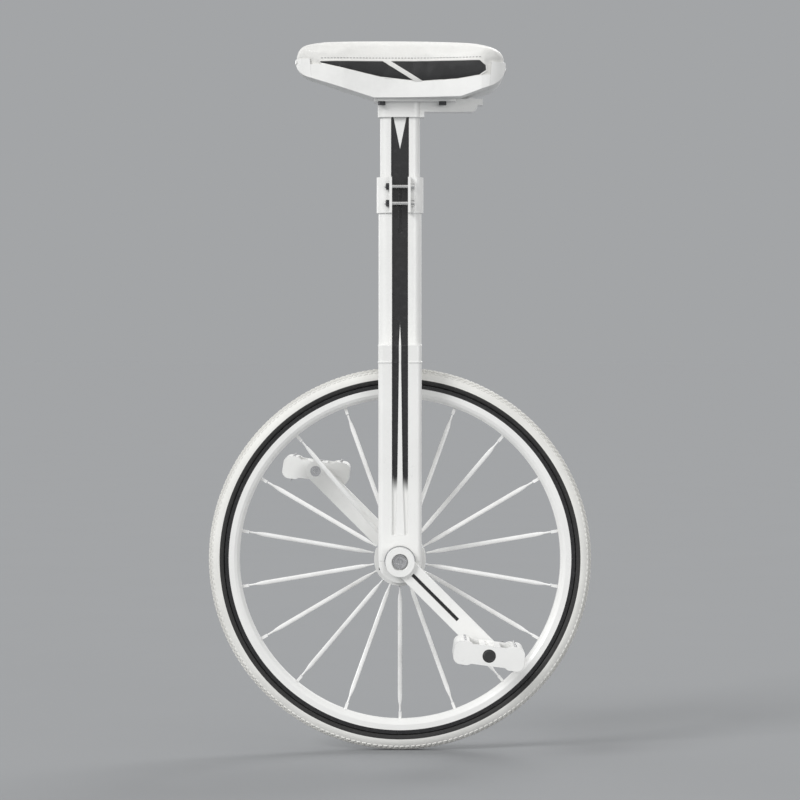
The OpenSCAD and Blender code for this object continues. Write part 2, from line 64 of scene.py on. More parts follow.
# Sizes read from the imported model, in metres
AXLE = Vector((0, 0, middle("tyre").z))
WHEEL_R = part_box("tyre")[1].z - AXLE.z
TYRE_HALF_W = (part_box("tyre")[1].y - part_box("tyre")[0].y) / 2
RIM_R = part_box("rim")[1].z - AXLE.z
LEG_Y = middle("leg_right").y
LEG_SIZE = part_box("leg_right")[1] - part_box("leg_right")[0]
CROWN_LOW, CROWN_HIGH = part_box("fork_crown")
NECK_LOW, NECK_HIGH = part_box("neck_tube")
POST_LOW, POST_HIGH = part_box("seatpost")
SOCKET_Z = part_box("seat_bracket")[0].z
SEAT_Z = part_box("seat_base")[0].z
SEAT_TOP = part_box("seat_cover")[1].z

# Sizes that the model's boxes don't give
FLANGE_Y = 27 * MM
SPOKE_COUNT = 18
FLUTE_DEPTH = 3 * MM
FLUTE_HALF_W = 11.5 * MM
RIM_BAND = 5.9 * MM  # how far the black band reaches down from the rim's edge
TREAD_WHITE = 14.75 * MM  # how far the white rubber reaches down from the tread

# The saddle's seam between base and pad, as x and height above its flat underside, and
# the side insert's ends and top line, all in millimetres
SEAM = [(-160, 44), (-100, 44), (-25, 26), (25, 20), (75, 22), (113, 27), (160, 27)]
INSERT_X = (-105, 112)
INSERT_TOP = ((-106, 48.7), (113, 46.5))


# --- settings


COLOUR = {"subtype": "COLOR", "size": 3, "min": 0, "max": 1}


class UnicyclePaint(bpy.types.PropertyGroup):
    """Colours and wear of the painted parts."""

    white: FloatVectorProperty(
        name="White", description="Powder coat on the frame, cranks and rim",
        default=(0.83, 0.83, 0.815), **COLOUR)
    black: FloatVectorProperty(
        name="Black", description="Paint in the flutes and on the rim's band",
        default=(0.012, 0.012, 0.013), **COLOUR)
    peel: FloatProperty(
        name="Orange peel", description="Height of the powder coat's ripple",
        unit="LENGTH", min=0, max=0.0005, default=0.00006)
    wear: FloatProperty(
        name="Wear", description="How much of the edges is rubbed or chipped",
        subtype="FACTOR", min=0, max=1, default=0.35)


class UnicycleWheel(bpy.types.PropertyGroup):
    """Sizes and colours of the tyre and spokes."""

    tread_depth: FloatProperty(
        name="Tread depth", description="Height of the tread's blocks",
        unit="LENGTH", min=0.0003, max=0.003, default=0.001)
    tread_gap: FloatProperty(
        name="Tread gap", description="Half the gap between two blocks",
        unit="LENGTH", min=0.0002, max=0.001, default=0.00042)
    rubber_white: FloatVectorProperty(
        name="Tread rubber", description="Colour of the tread and shoulders",
        default=(0.78, 0.775, 0.745), **COLOUR)
    rubber_black: FloatVectorProperty(
        name="Sidewall rubber", description="Colour of the lower sidewalls",
        default=(0.012, 0.012, 0.012), **COLOUR)
    blade_w: FloatProperty(
        name="Blade width", description="Width of a bladed spoke",
        unit="LENGTH", min=0.003, max=0.007, default=0.0056)
    blade_t: FloatProperty(
        name="Blade thickness", description="Thickness of a bladed spoke",
        unit="LENGTH", min=0.001, max=0.0024, default=0.0018)


class UnicycleSaddle(bpy.types.PropertyGroup):
    """Sizes and colours of the saddle's soft parts."""

    swell_cap: FloatProperty(
        name="Swell", description="Furthest that a point of the pad may move as it fills",
        unit="LENGTH", min=0.002, max=0.012, default=0.006)
    crown: FloatProperty(
        name="Crown", description="Drop of the pad's top from its middle to its sides",
        unit="LENGTH", min=0, max=0.015, default=0.008)
    stitch: FloatProperty(
        name="Stitch length", description="Length of one stitch with its gap",
        unit="LENGTH", min=0.002, max=0.008, default=0.0042)
    vinyl_white: FloatVectorProperty(
        name="White vinyl", description="Colour of the pad, welts and bands",
        default=(0.8, 0.795, 0.77), **COLOUR)
    vinyl_black: FloatVectorProperty(
        name="Black vinyl", description="Colour of the side inserts",
        default=(0.014, 0.014, 0.015), **COLOUR)


class UnicycleStage(bpy.types.PropertyGroup):
    """Floor, lights and camera."""

    floor: FloatVectorProperty(
        name="Floor", description="Colour of the floor",
        default=(0.3, 0.307, 0.315), **COLOUR)
    sky: FloatProperty(
        name="Room light", description="Strength of the even light from all round",
        min=0, max=3, default=0.68)
    key: FloatProperty(
        name="Key light", description="Strength of the main light, on the camera's left",
        min=0, max=10, default=1.7)
    lens: FloatProperty(
        name="Lens", description="Focal length of the camera, in millimetres",
        subtype="DISTANCE_CAMERA", min=50, max=300, default=150)


# --- modelling helpers


def deselect():
    if bpy.context.mode != "OBJECT":
        bpy.ops.object.mode_set(mode="OBJECT")
    bpy.ops.object.select_all(action="DESELECT")


def pick(*objects):
    deselect()
    for obj in objects:
        obj.select_set(True)
    bpy.context.view_layer.objects.active = objects[0]


def edit(obj, mode="FACE"):
    pick(obj)
    bpy.ops.object.mode_set(mode="EDIT")
    bpy.ops.mesh.select_mode(type=mode)
    bpy.ops.mesh.select_all(action="DESELECT")


def choose(obj, test, kind="faces"):
    """Selects the faces or verts that pass a test of place and normal."""
    mesh = bmesh.from_edit_mesh(obj.data)
    for part in getattr(mesh, kind):
        spot = part.calc_center_median() if kind == "faces" else part.co
        part.select_set(bool(test(spot, part.normal)))
    mesh.select_flush_mode()
    bmesh.update_edit_mesh(obj.data)


def bisect(spot, normal, **ends):
    """Cuts all of the mesh in edit mode by a plane."""
    bpy.ops.mesh.select_all(action="SELECT")
    bpy.ops.mesh.bisect(plane_co=spot, plane_no=normal, **ends)


def place(obj):
    """Moves an object's place and turn into its mesh."""
    pick(obj)
    bpy.ops.object.transform_apply(location=True, rotation=True, scale=True)


def apply_modifier(obj, kind, **values):
    """Adds a modifier, sets it and applies it."""
    pick(obj)
    modifier = obj.modifiers.new(kind.lower(), kind)
    for name, value in values.items():
        setattr(modifier, name, value)
    bpy.ops.object.modifier_apply(modifier=modifier.name)


def clean(obj, distance=0.01 * MM):
    """Merges doubles and turns the faces outwards."""
    edit(obj, "VERT")
    bpy.ops.mesh.select_all(action="SELECT")
    bpy.ops.mesh.remove_doubles(threshold=distance)
    bpy.ops.mesh.normals_make_consistent(inside=False)
    deselect()


def copy_of(source, name):
    twin = source.copy()
    twin.data = source.data.copy()
    twin.name = name
    twin.parent = None
    bpy.context.scene.collection.objects.link(twin)
    twin.hide_render = False
    twin.hide_viewport = False
    twin.hide_set(False)
    return twin


def row_of(source, matrices, name):
    """Copies a modelled piece to each place, joins the copies and drops the source."""
    twins = []
    for matrix in matrices:
        twin = copy_of(source, name)
        twin.data.transform(matrix)
        twins.append(twin)
    pick(*twins)
    bpy.ops.object.join()
    joined = bpy.context.view_layer.objects.active
    bpy.data.objects.remove(source)
    joined.name = name
    return joined


def complete(obj, name, body, finish, smooth):
    """Names, shades, colours and hangs a finished piece on its body."""
    place(obj)
    obj.name = obj.data.name = name
    bpy.ops.object.shade_smooth_by_angle(angle=radians(smooth))
    obj.data.materials.clear()
    obj.data.materials.append(finish)
    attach(obj, body)
    deselect()
    return obj


def soften(node, width):
    """Rounds the sharp edges of a carried-over part with live modifiers."""
    obj = NODES[node]
    weld = obj.modifiers.new("weld", "WELD")
    weld.merge_threshold = 0.005 * MM
    flats = obj.modifiers.new("flats", "DECIMATE")
    flats.decimate_type = "DISSOLVE"
    flats.angle_limit = radians(0.6)
    bevel = obj.modifiers.new("rounding", "BEVEL")
    bevel.width = width
    bevel.segments = 2
    bevel.limit_method = "ANGLE"
    bevel.angle_limit = radians(32)
    bevel.miter_outer = "MITER_ARC"
    bevel.harden_normals = False
    normals = obj.modifiers.new("even_shading", "WEIGHTED_NORMAL")
    normals.weight = 60
    normals.keep_sharp = False


def dress(finish, *nodes, round_by=None):
    """Gives carried-over parts a finish and, if asked, rounded edges."""
    for node in nodes:
        for slot in NODES[node].material_slots:
            slot.material = finish
        if round_by:
            soften(node, round_by)


def outline(w, t, r, step):
    """Points along a rounded rectangle, each with its outward direction."""
    points = []
    flat_w, flat_t, arc = w - 2 * r, t - 2 * r, pi * r / 2
    total = 2 * (flat_w + flat_t) + 4 * arc
    count = round(total / step)
    sides = [(Vector((-flat_w / 2, -t / 2)), Vector((1, 0)), flat_w),
             (Vector((w / 2, -flat_t / 2)), Vector((0, 1)), flat_t),
             (Vector((flat_w / 2, t / 2)), Vector((-1, 0)), flat_w),
             (Vector((-w / 2, flat_t / 2)), Vector((0, -1)), flat_t)]
    for k in range(count):
        run = k * total / count
        for start, way, length in sides:
            out = Vector((way.y, -way.x))
            if run < length:
                points.append((start + way * run, out))
                break
            run -= length
            if run < arc:
                centre = start + way * length - out * r
                out = out * cos(run / r) + way * sin(run / r)
                points.append((centre + out * r, out))
                break
            run -= arc
    return points


# --- finishes


def shade(colour, share):
    return tuple(c * share for c in colour)


class Finish:
    """A material being mixed: its nodes, its shader and its growing bump."""

    def __init__(self, name, colour, roughness, metallic=0.0, **sockets):
        self.material = bpy.data.materials.new(name)
        self.material.use_nodes = True
        self.tree = self.material.node_tree
        self.shader = self.tree.nodes["Principled BSDF"]
        self.coords = self.tree.nodes.new("ShaderNodeTexCoord").outputs["Object"]
        self.normal = None
        self.shader.inputs["Base Color"].default_value = (*colour, 1)
        self.shader.inputs["Roughness"].default_value = roughness
        self.shader.inputs["Metallic"].default_value = metallic
        for socket, value in sockets.items():
            self.shader.inputs[socket.replace("_", " ")].default_value = value

    def feed(self, socket, value):
        """Links a socket to another node's, or sets its value."""
        if isinstance(value, bpy.types.NodeSocket):
            self.tree.links.new(value, socket)
        elif isinstance(value, tuple) and len(value) == 3 and len(socket.default_value) == 4:
            socket.default_value = (*value, 1)
        else:
            socket.default_value = value

    def node(self, kind, out, inputs, **values):
        """Adds a node, feeds its inputs and gives its output."""
        node = self.tree.nodes.new(kind)
        for name, value in values.items():
            setattr(node, name, value)
        for key, value in inputs.items():
            self.feed(node.inputs[key], value)
        return node.outputs[out]

    def mapped(self, stretch, turn=(0, 0, 0)):
        return self.node("ShaderNodeMapping", "Vector", {
            "Vector": self.coords, "Scale": stretch, "Rotation": turn})

    def noise(self, scale, detail=3.0, rough=0.55, coords=None):
        return self.node("ShaderNodeTexNoise", "Fac", {
            "Vector": coords or self.coords, "Scale": scale, "Detail": detail,
            "Roughness": rough})

    def span(self, value, low, high, to_low=0.0, to_high=1.0, smooth=True):
        return self.node("ShaderNodeMapRange", "Result", {
            "Value": value, "From Min": low, "From Max": high,
            "To Min": to_low, "To Max": to_high},
            interpolation_type="SMOOTHSTEP" if smooth else "LINEAR", clamp=True)

    def calc(self, operation, a, b=0.0):
        return self.node("ShaderNodeMath", "Value", {0: a, 1: b}, operation=operation)

    def add(self, a, b):
        return self.calc("ADD", a, b)

    def take(self, a, b):
        return self.calc("SUBTRACT", a, b)

    def both(self, *masks):
        """The product of masks and shares."""
        result = masks[0]
        for mask in masks[1:]:
            result = self.calc("MULTIPLY", result, mask)
        return result

    def shaded(self, cloud, low, high, colour, share):
        """A colour that darkens to a share of itself where a noise is high."""
        return self.mix(self.span(cloud, low, high), colour, shade(colour, share))

    def mix(self, share, a, b):
        node = self.tree.nodes.new("ShaderNodeMix")
        node.data_type = "RGBA"
        self.feed(node.inputs[0], share)
        self.feed(node.inputs[6], a)
        self.feed(node.inputs[7], b)
        return node.outputs[2]

    def axes(self):
        split = self.tree.nodes.new("ShaderNodeSeparateXYZ")
        self.tree.links.new(self.coords, split.inputs[0])
        return split.outputs[0], split.outputs[1], split.outputs[2]

    def radius(self):
        """Distance from the wheel's axis."""
        x, _, z = self.axes()
        rise = self.take(z, AXLE.z)
        return self.calc("SQRT", self.add(self.both(x, x), self.both(rise, rise)))

    def emboss(self, height, distance, strength=1.0):
        inputs = {"Height": height, "Distance": distance, "Strength": strength}
        if self.normal:
            inputs["Normal"] = self.normal
        self.normal = self.node("ShaderNodeBump", "Normal", inputs)

    def edges(self, radius):
        """One on sharp edges, nought on flats."""
        rounded = self.node("ShaderNodeBevel", "Normal", {"Radius": radius}, samples=4)
        true = self.tree.nodes.new("ShaderNodeNewGeometry").outputs["Normal"]
        turned = self.node("ShaderNodeVectorMath", "Value", {0: rounded, 1: true},
                           operation="DOT_PRODUCT")
        return self.span(self.take(1.0, turned), 0.012, 0.14)

    def colour(self, value):
        self.feed(self.shader.inputs["Base Color"], value)

    def rough(self, value):
        self.feed(self.shader.inputs["Roughness"], value)

    def metal(self, value):
        self.feed(self.shader.inputs["Metallic"], value)

    def done(self):
        if self.normal:
            self.tree.links.new(self.normal, self.shader.inputs["Normal"])
        return self.material


def powder_coat(name, settings, black_mask=None, chips=0.6):
    """White powder coat with orange peel, fine dust and rubbed edges."""
    paint = Finish(name, settings.white, 0.33, Coat_Weight=0.25, Coat_Roughness=0.12)
    cloud = paint.noise(9, 5, 0.6)
    fine = paint.noise(160, 4, 0.6)
    body = paint.shaded(cloud, 0.35, 0.75, tuple(settings.white), 0.93)
    specks = paint.both(paint.span(paint.noise(1400, 2), 0.68, 0.76),
                        paint.span(cloud, 0.45, 0.7))
    body = paint.mix(paint.both(specks, 0.35), body, (0.45, 0.44, 0.42))
    rough = paint.span(fine, 0.25, 0.75, 0.26, 0.44)
    if black_mask:
        mask = black_mask(paint)
        dusty = paint.mix(paint.span(fine, 0.55, 0.85, 0, 0.5), tuple(settings.black),
                          (0.05, 0.05, 0.05))
        body = paint.mix(mask, body, dusty)
        rough = paint.add(rough, paint.both(mask, -0.06))
    rub = paint.both(paint.edges(1.6 * MM), paint.span(paint.noise(70, 5, 0.7), 0.52, 0.6),
                     settings.wear * chips)
    body = paint.mix(rub, body, (0.36, 0.36, 0.37))
    paint.colour(body)
    paint.rough(paint.add(rough, paint.both(rub, 0.15)))
    paint.metal(paint.both(rub, 0.8))
    paint.emboss(paint.noise(520, 1.5, 0.4), settings.peel)
    paint.emboss(paint.noise(2600, 2), 0.01 * MM, 0.5)
    paint.emboss(paint.take(1.0, rub), 0.08 * MM, 0.6)
    return paint.done()


def stripe(floor_y, low, high, spear_highlight=None, fade=None, blunt_highlight=None):
    """Black along the flute's floor. The white spearhead and the wide V-shaped wedge kept in it
    are painted highlights, and the fade is a painted highlight that thins the black out below.
    """

    def mask(paint):
        x, y, z = paint.axes()
        wobble = paint.both(paint.take(paint.noise(350, 3), 0.5), 0.35 * MM)
        across = paint.add(paint.calc("ABSOLUTE", x), wobble)
        deep = paint.calc("ABSOLUTE", y)
        half_w = FLUTE_HALF_W if blunt_highlight else FLUTE_HALF_W - 1.2 * MM
        parts = [
            paint.span(across, half_w, half_w + 0.4 * MM, 1, 0),
            paint.span(deep, floor_y - 1.2 * MM, floor_y - 0.8 * MM),
            paint.span(deep, floor_y + 1.3 * MM, floor_y + 1.6 * MM, 1, 0),
            paint.span(z, low, low + 0.3 * MM), paint.span(z, high, high + 0.3 * MM, 1, 0),
        ]
        # The spearhead and the wide wedge are painted highlights: white is kept in the black
        # where light would run along the tube
        for wedge in (spear_highlight, blunt_highlight):
            if wedge:
                z0, w0, z1, w1 = wedge
                edge = paint.span(z, z0, z1, w0, w1, smooth=False)
                outside = paint.take(across, edge)
                parts.append(paint.span(outside, -0.15 * MM, 0.15 * MM))
        # The fade is a painted highlight: the black thins out in streaks towards the hub, which
        # leaves the lower leg white as if it were lit
        if fade:
            streaks = paint.noise(330, 4, 0.7, paint.mapped((1, 1, 0.03)))
            lifted = paint.add(z, paint.both(paint.take(streaks, 0.5), fade[1] - fade[0]))
            parts.append(paint.span(lifted, *fade))
        return paint.both(*parts)

    return mask


def rim_coat(settings):
    """White powder coat with a black band beside the tyre."""

    def band(paint):
        r = paint.radius()
        return paint.both(paint.span(r, RIM_R - RIM_BAND, RIM_R - RIM_BAND + 0.2 * MM),
                          paint.span(r, RIM_R + 0.2 * MM, RIM_R + 0.3 * MM, 1, 0))

    return powder_coat("rim_paint", settings, band, chips=0.4)


def tyre_rubber(settings):
    """Off-white tread and shoulders over black lower sidewalls."""
    rubber = Finish("tyre_rubber", settings.rubber_white, 0.62)
    r = rubber.radius()
    fine = rubber.noise(420, 4, 0.65)
    edge = rubber.add(r, rubber.both(fine, 0.2 * MM))
    reach = WHEEL_R - TREAD_WHITE
    white_part = rubber.span(edge, reach, reach + 0.2 * MM)
    white = rubber.shaded(rubber.noise(14, 5, 0.6), 0.35, 0.8,
                          tuple(settings.rubber_white), 0.88)
    worn = rubber.both(rubber.span(r, WHEEL_R - 1.3 * MM, WHEEL_R - 0.1 * MM),
                       rubber.span(rubber.noise(45, 6, 0.7), 0.38, 0.7, 0.1, 0.55))
    white = rubber.mix(worn, white, (0.40, 0.385, 0.36))
    groove = rubber.both(rubber.span(r, WHEEL_R - 5 * MM, WHEEL_R - 3.5 * MM),
                         rubber.span(r, WHEEL_R - 1.15 * MM, WHEEL_R - 0.9 * MM, 1, 0), 0.25)
    white = rubber.mix(groove, white, (0.33, 0.32, 0.30))
    dark = rubber.mix(rubber.span(fine, 0.4, 0.8), tuple(settings.rubber_black),
                      (0.035, 0.034, 0.033))
    rubber.colour(rubber.mix(white_part, dark, white))
    rubber.rough(rubber.span(fine, 0.3, 0.7, 0.48, 0.72))
    ribs = rubber.calc("SINE", rubber.both(r, 2 * pi / (1.1 * MM)))
    shoulder = rubber.span(r, WHEEL_R - 7 * MM, WHEEL_R - 6 * MM, 1, 0)
    rubber.emboss(rubber.both(ribs, shoulder), 0.05 * MM)
    rubber.emboss(fine, 0.06 * MM)
    return rubber.done()


def brushed(name, colour, roughness, along):
    """Metal drawn or ground in one direction, with faint stains."""
    metal = Finish(name, colour, roughness, metallic=1.0)
    lines = metal.noise(900, 3, 0.6, metal.mapped(along))
    stain = metal.noise(35, 5, 0.65)
    metal.colour(metal.shaded(stain, 0.4, 0.75, colour, 0.88))
    metal.rough(metal.add(metal.span(lines, 0.3, 0.7, roughness * 0.75, roughness * 1.25),
                          metal.span(stain, 0.5, 0.8, 0, 0.1)))
    metal.emboss(lines, 0.012 * MM, 0.5)
    return metal.done()


def spoke_enamel(name):
    """White enamel on the blades, rubbed through to bright steel at both round ends."""
    enamel = (0.84, 0.84, 0.83)
    start, end, fade = 35 * MM, 201 * MM, 1.5 * MM
    coat = Finish(name, enamel, 0.28, Coat_Weight=0.2, Coat_Roughness=0.1)
    r = coat.radius()
    worn = coat.both(coat.take(coat.noise(500, 4, 0.6), 0.5), 5 * MM)
    reach = coat.add(r, worn)
    bare = coat.calc("MAXIMUM", coat.span(reach, start, start + fade, 1, 0),
                     coat.span(reach, end, end + fade))
    cloud = coat.noise(40, 4, 0.6)
    white = coat.mix(coat.span(cloud, 0.4, 0.8), enamel, (0.74, 0.735, 0.72))
    coat.colour(coat.mix(bare, white, (0.66, 0.67, 0.69)))
    coat.metal(bare)
    coat.rough(coat.span(coat.noise(900, 3), 0.3, 0.7, 0.22, 0.36))
    coat.emboss(coat.noise(700, 2), 0.015 * MM, 0.5)
    return coat.done()


def plated(name, colour, roughness, rust=0.0):
    """Zinc, nickel or black oxide on steel, brighter on its edges."""
    metal = Finish(name, colour, roughness, metallic=1.0)
    cloud = metal.noise(120, 5, 0.65)
    tint = metal.shaded(cloud, 0.35, 0.75, colour, 0.8)
    bright = metal.both(metal.edges(0.5 * MM), metal.span(cloud, 0.35, 0.6), 0.7)
    tint = metal.mix(bright, tint, (0.72, 0.72, 0.73))
    if rust:
        spots = metal.span(metal.noise(300, 6, 0.7), 0.66, 0.75, 0, rust)
        tint = metal.mix(spots, tint, (0.25, 0.12, 0.06))
    metal.colour(tint)
    metal.rough(metal.span(metal.noise(700, 4), 0.3, 0.7, roughness * 0.8, roughness * 1.3))
    metal.emboss(metal.noise(1800, 3), 0.01 * MM, 0.6)
    return metal.done()


def moulded(name, colour, roughness, texture=0.04, scuff=0.3, mark=(0.5, 0.5, 0.5)):
    """Moulded plastic or rubber with a spark-eroded texture and scuffs."""
    plastic = Finish(name, colour, roughness)
    cloud = plastic.noise(22, 5, 0.6)
    scratches = plastic.span(plastic.noise(60, 6, 0.75, plastic.mapped((1, 0.2, 6))),
                             0.6, 0.72, 0, scuff)
    worn = plastic.both(plastic.edges(1.2 * MM), plastic.span(cloud, 0.4, 0.65), scuff)
    tint = plastic.shaded(cloud, 0.35, 0.75, colour, 0.9)
    tint = plastic.mix(plastic.both(scratches, 0.4), tint, mark)
    plastic.colour(plastic.mix(worn, tint, mark))
    plastic.rough(plastic.add(
        plastic.span(cloud, 0.3, 0.7, roughness * 0.85, roughness * 1.15),
        plastic.both(scratches, 0.3)))
    plastic.emboss(plastic.noise(2300, 3, 0.6), texture * MM)
    plastic.emboss(scratches, 0.02 * MM)
    return plastic.done()


def vinyl(name, colour, grain=1.5, depth=0.1, soil=(0.42, 0.40, 0.36)):
    """Grained vinyl: pebbled cells with creases, painted shade in the creases, faint soiling
    and a soft sheen.
    """
    skin = Finish(name, colour, 0.5, Sheen_Weight=0.08, Coat_Weight=0.06)
    warp = skin.node("ShaderNodeTexNoise", "Color", {
        "Vector": skin.coords, "Scale": 260.0, "Detail": 2.0})
    bent = skin.node("ShaderNodeVectorMath", "Vector", {
        0: skin.coords, 1: skin.node("ShaderNodeVectorMath", "Vector", {
            0: warp, "Scale": 0.8 * MM}, operation="SCALE")}, operation="ADD")
    pebble = skin.node("ShaderNodeTexVoronoi", "Distance", {
        "Vector": bent, "Scale": 1 / (grain * MM) * 1.3}, feature="DISTANCE_TO_EDGE")
    crease = skin.span(pebble, 0.0, 0.22)
    cloud = skin.noise(16, 5, 0.6)
    tint = skin.shaded(cloud, 0.4, 0.8, colour, 0.9)
    # Painted shade: the creases between the pebbles are tinted up to a fifth of the way towards
    # a darker shade of the colour
    tint = skin.mix(skin.both(skin.take(1.0, crease), 0.2), tint, shade(colour, 0.62))
    dirt = skin.span(skin.noise(30, 6, 0.7), 0.55, 0.8, 0, 0.18)
    skin.colour(skin.mix(dirt, tint, soil))
    skin.rough(skin.add(skin.span(crease, 0, 1, 0.62, 0.44), skin.both(dirt, 0.3)))
    skin.emboss(skin.noise(38, 3, 0.5), 0.5 * MM, 0.35)
    skin.emboss(crease, depth * MM)
    skin.emboss(skin.noise(1500, 3), 0.03 * MM, 0.5)
    return skin.done()


def thread_finish(name, colour):
    """Twisted thread."""
    thread = Finish(name, colour, 0.7, Sheen_Weight=0.2)
    twist = thread.noise(2600, 2, 0.5, thread.mapped((1, 1, 0.4), (0, 0.6, 0)))
    thread.colour(thread.mix(twist, colour, shade(colour, 0.6)))
    thread.emboss(twist, 0.1 * MM)
    return thread.done()


# --- frame


class UNICYCLE_OT_frame_paint(bpy.types.Operator):
    """Rounds the frame's edges and paints it white, with black flutes and white painted
    highlights in them
    """

    bl_idname = "unicycle.frame_paint"
    bl_label = "Paint the frame"

    def execute(self, context):
        paint = context.scene.unicycle_paint
        leg_floor = LEG_Y + LEG_SIZE.y / 2 - FLUTE_DEPTH
        leg_top = CROWN_LOW.z
        bare = powder_coat("frame_white", paint)
        # The leg's flute fades to white towards the hub: painted highlight
        dress(powder_coat("leg_paint", paint, stripe(
            leg_floor, AXLE.z + 60 * MM, leg_top + 1 * MM,
            fade=(AXLE.z + 88 * MM, AXLE.z + 112 * MM))),
            "leg_left", "leg_right", round_by=0.7 * MM)
        # The crown keeps a thin white line down its flute: painted highlight
        dress(powder_coat("crown_paint", paint, stripe(
            leg_floor, leg_top - 1 * MM, CROWN_HIGH.z + 1 * MM,
            spear_highlight=(leg_top, 1.4 * MM, CROWN_HIGH.z, 1.4 * MM))),
            "fork_crown", round_by=0.8 * MM)
        # The neck keeps a white spearhead at the foot of its flute: painted highlight
        dress(powder_coat("neck_paint", paint, stripe(
            NECK_HIGH.y - FLUTE_DEPTH, NECK_LOW.z - 1 * MM, NECK_HIGH.z + 1 * MM,
            spear_highlight=(NECK_LOW.z, 1.4 * MM, NECK_LOW.z + 34 * MM, -0.3 * MM))),
            "neck_tube", round_by=0.5 * MM)
        # The seatpost keeps a white V at the top of its flute: painted highlight
        dress(powder_coat("post_paint", paint, stripe(
            POST_HIGH.y - FLUTE_DEPTH, POST_LOW.z, SOCKET_Z,
            blunt_highlight=(SOCKET_Z - 43 * MM, -0.3 * MM, SOCKET_Z, 8.5 * MM))),
            "seatpost", round_by=0.4 * MM)
        dress(bare, "bearing_cap_left", "bearing_cap_right", "seat_clamp", "seat_bracket",
              round_by=0.6 * MM)
        return {"FINISHED"}


class UNICYCLE_OT_weld_beads(bpy.types.Operator):
    """Lays weld beads where the legs and neck meet the crown and under the saddle bracket"""

    bl_idname = "unicycle.weld_beads"
    bl_label = "Weld the joints"

    def ripple(self):
        """One ripple of a bead: a flattened drop, lying along X."""
        bpy.ops.mesh.primitive_uv_sphere_add(segments=8, ring_count=5, radius=1.25 * MM)
        drop = bpy.context.object
        edit(drop, "VERT")
        bpy.ops.mesh.select_all(action="SELECT")
        bpy.ops.transform.resize(value=(1.0, 0.55, 1.35))
        choose(drop, lambda p, n: p.x > 0.2 * MM, "verts")
        bpy.ops.transform.resize(value=(1.0, 1.12, 1.08), center_override=(0, 0, 0))
        deselect()
        return drop

    def bead(self, name, body, centre, w, t, r, tilt, skip, finish):
        spots = []
        for point, out in outline(w, t, r, 1.35 * MM):
            spot = Vector((point.x, point.y, 0)) + centre
            if skip(spot):
                continue
            way = Vector((-out.y, out.x, 0))
            lean = Vector((out.x, out.y, 0)) * cos(tilt) + Vector((0, 0, sin(tilt)))
            turn = Matrix((way, lean, way.cross(lean))).transposed().to_4x4()
            spots.append(Matrix.Translation(spot) @ turn)
        bead = row_of(self.ripple(), spots, name)
        complete(bead, name, body, finish, 60)

    def execute(self, context):
        finish = powder_coat("bead_paint", context.scene.unicycle_paint, chips=0.3)
        deselect()
        for side, name in ((-1, "left"), (1, "right")):
            self.bead("leg_weld_" + name, "frame", Vector((0, side * LEG_Y, CROWN_LOW.z)),
                      LEG_SIZE.x, LEG_SIZE.y, 7 * MM, 0,
                      lambda p, s=side: abs(p.x) < FLUTE_HALF_W and s * p.y > LEG_Y, finish)
        neck = NECK_HIGH - NECK_LOW
        self.bead("neck_weld", "frame", Vector((0, 0, NECK_LOW.z)), neck.x, neck.y, 12 * MM,
                  radians(20), lambda p: abs(p.x) < FLUTE_HALF_W, finish)
        post = POST_HIGH - POST_LOW
        self.bead("bracket_weld", "saddle", Vector((0, 0, SOCKET_Z)),
                  post.x + 1 * MM, post.y + 1 * MM, 10 * MM, radians(-35),
                  lambda p: abs(p.x) < FLUTE_HALF_W + 1 * MM, finish)
        return {"FINISHED"}


# --- wheel


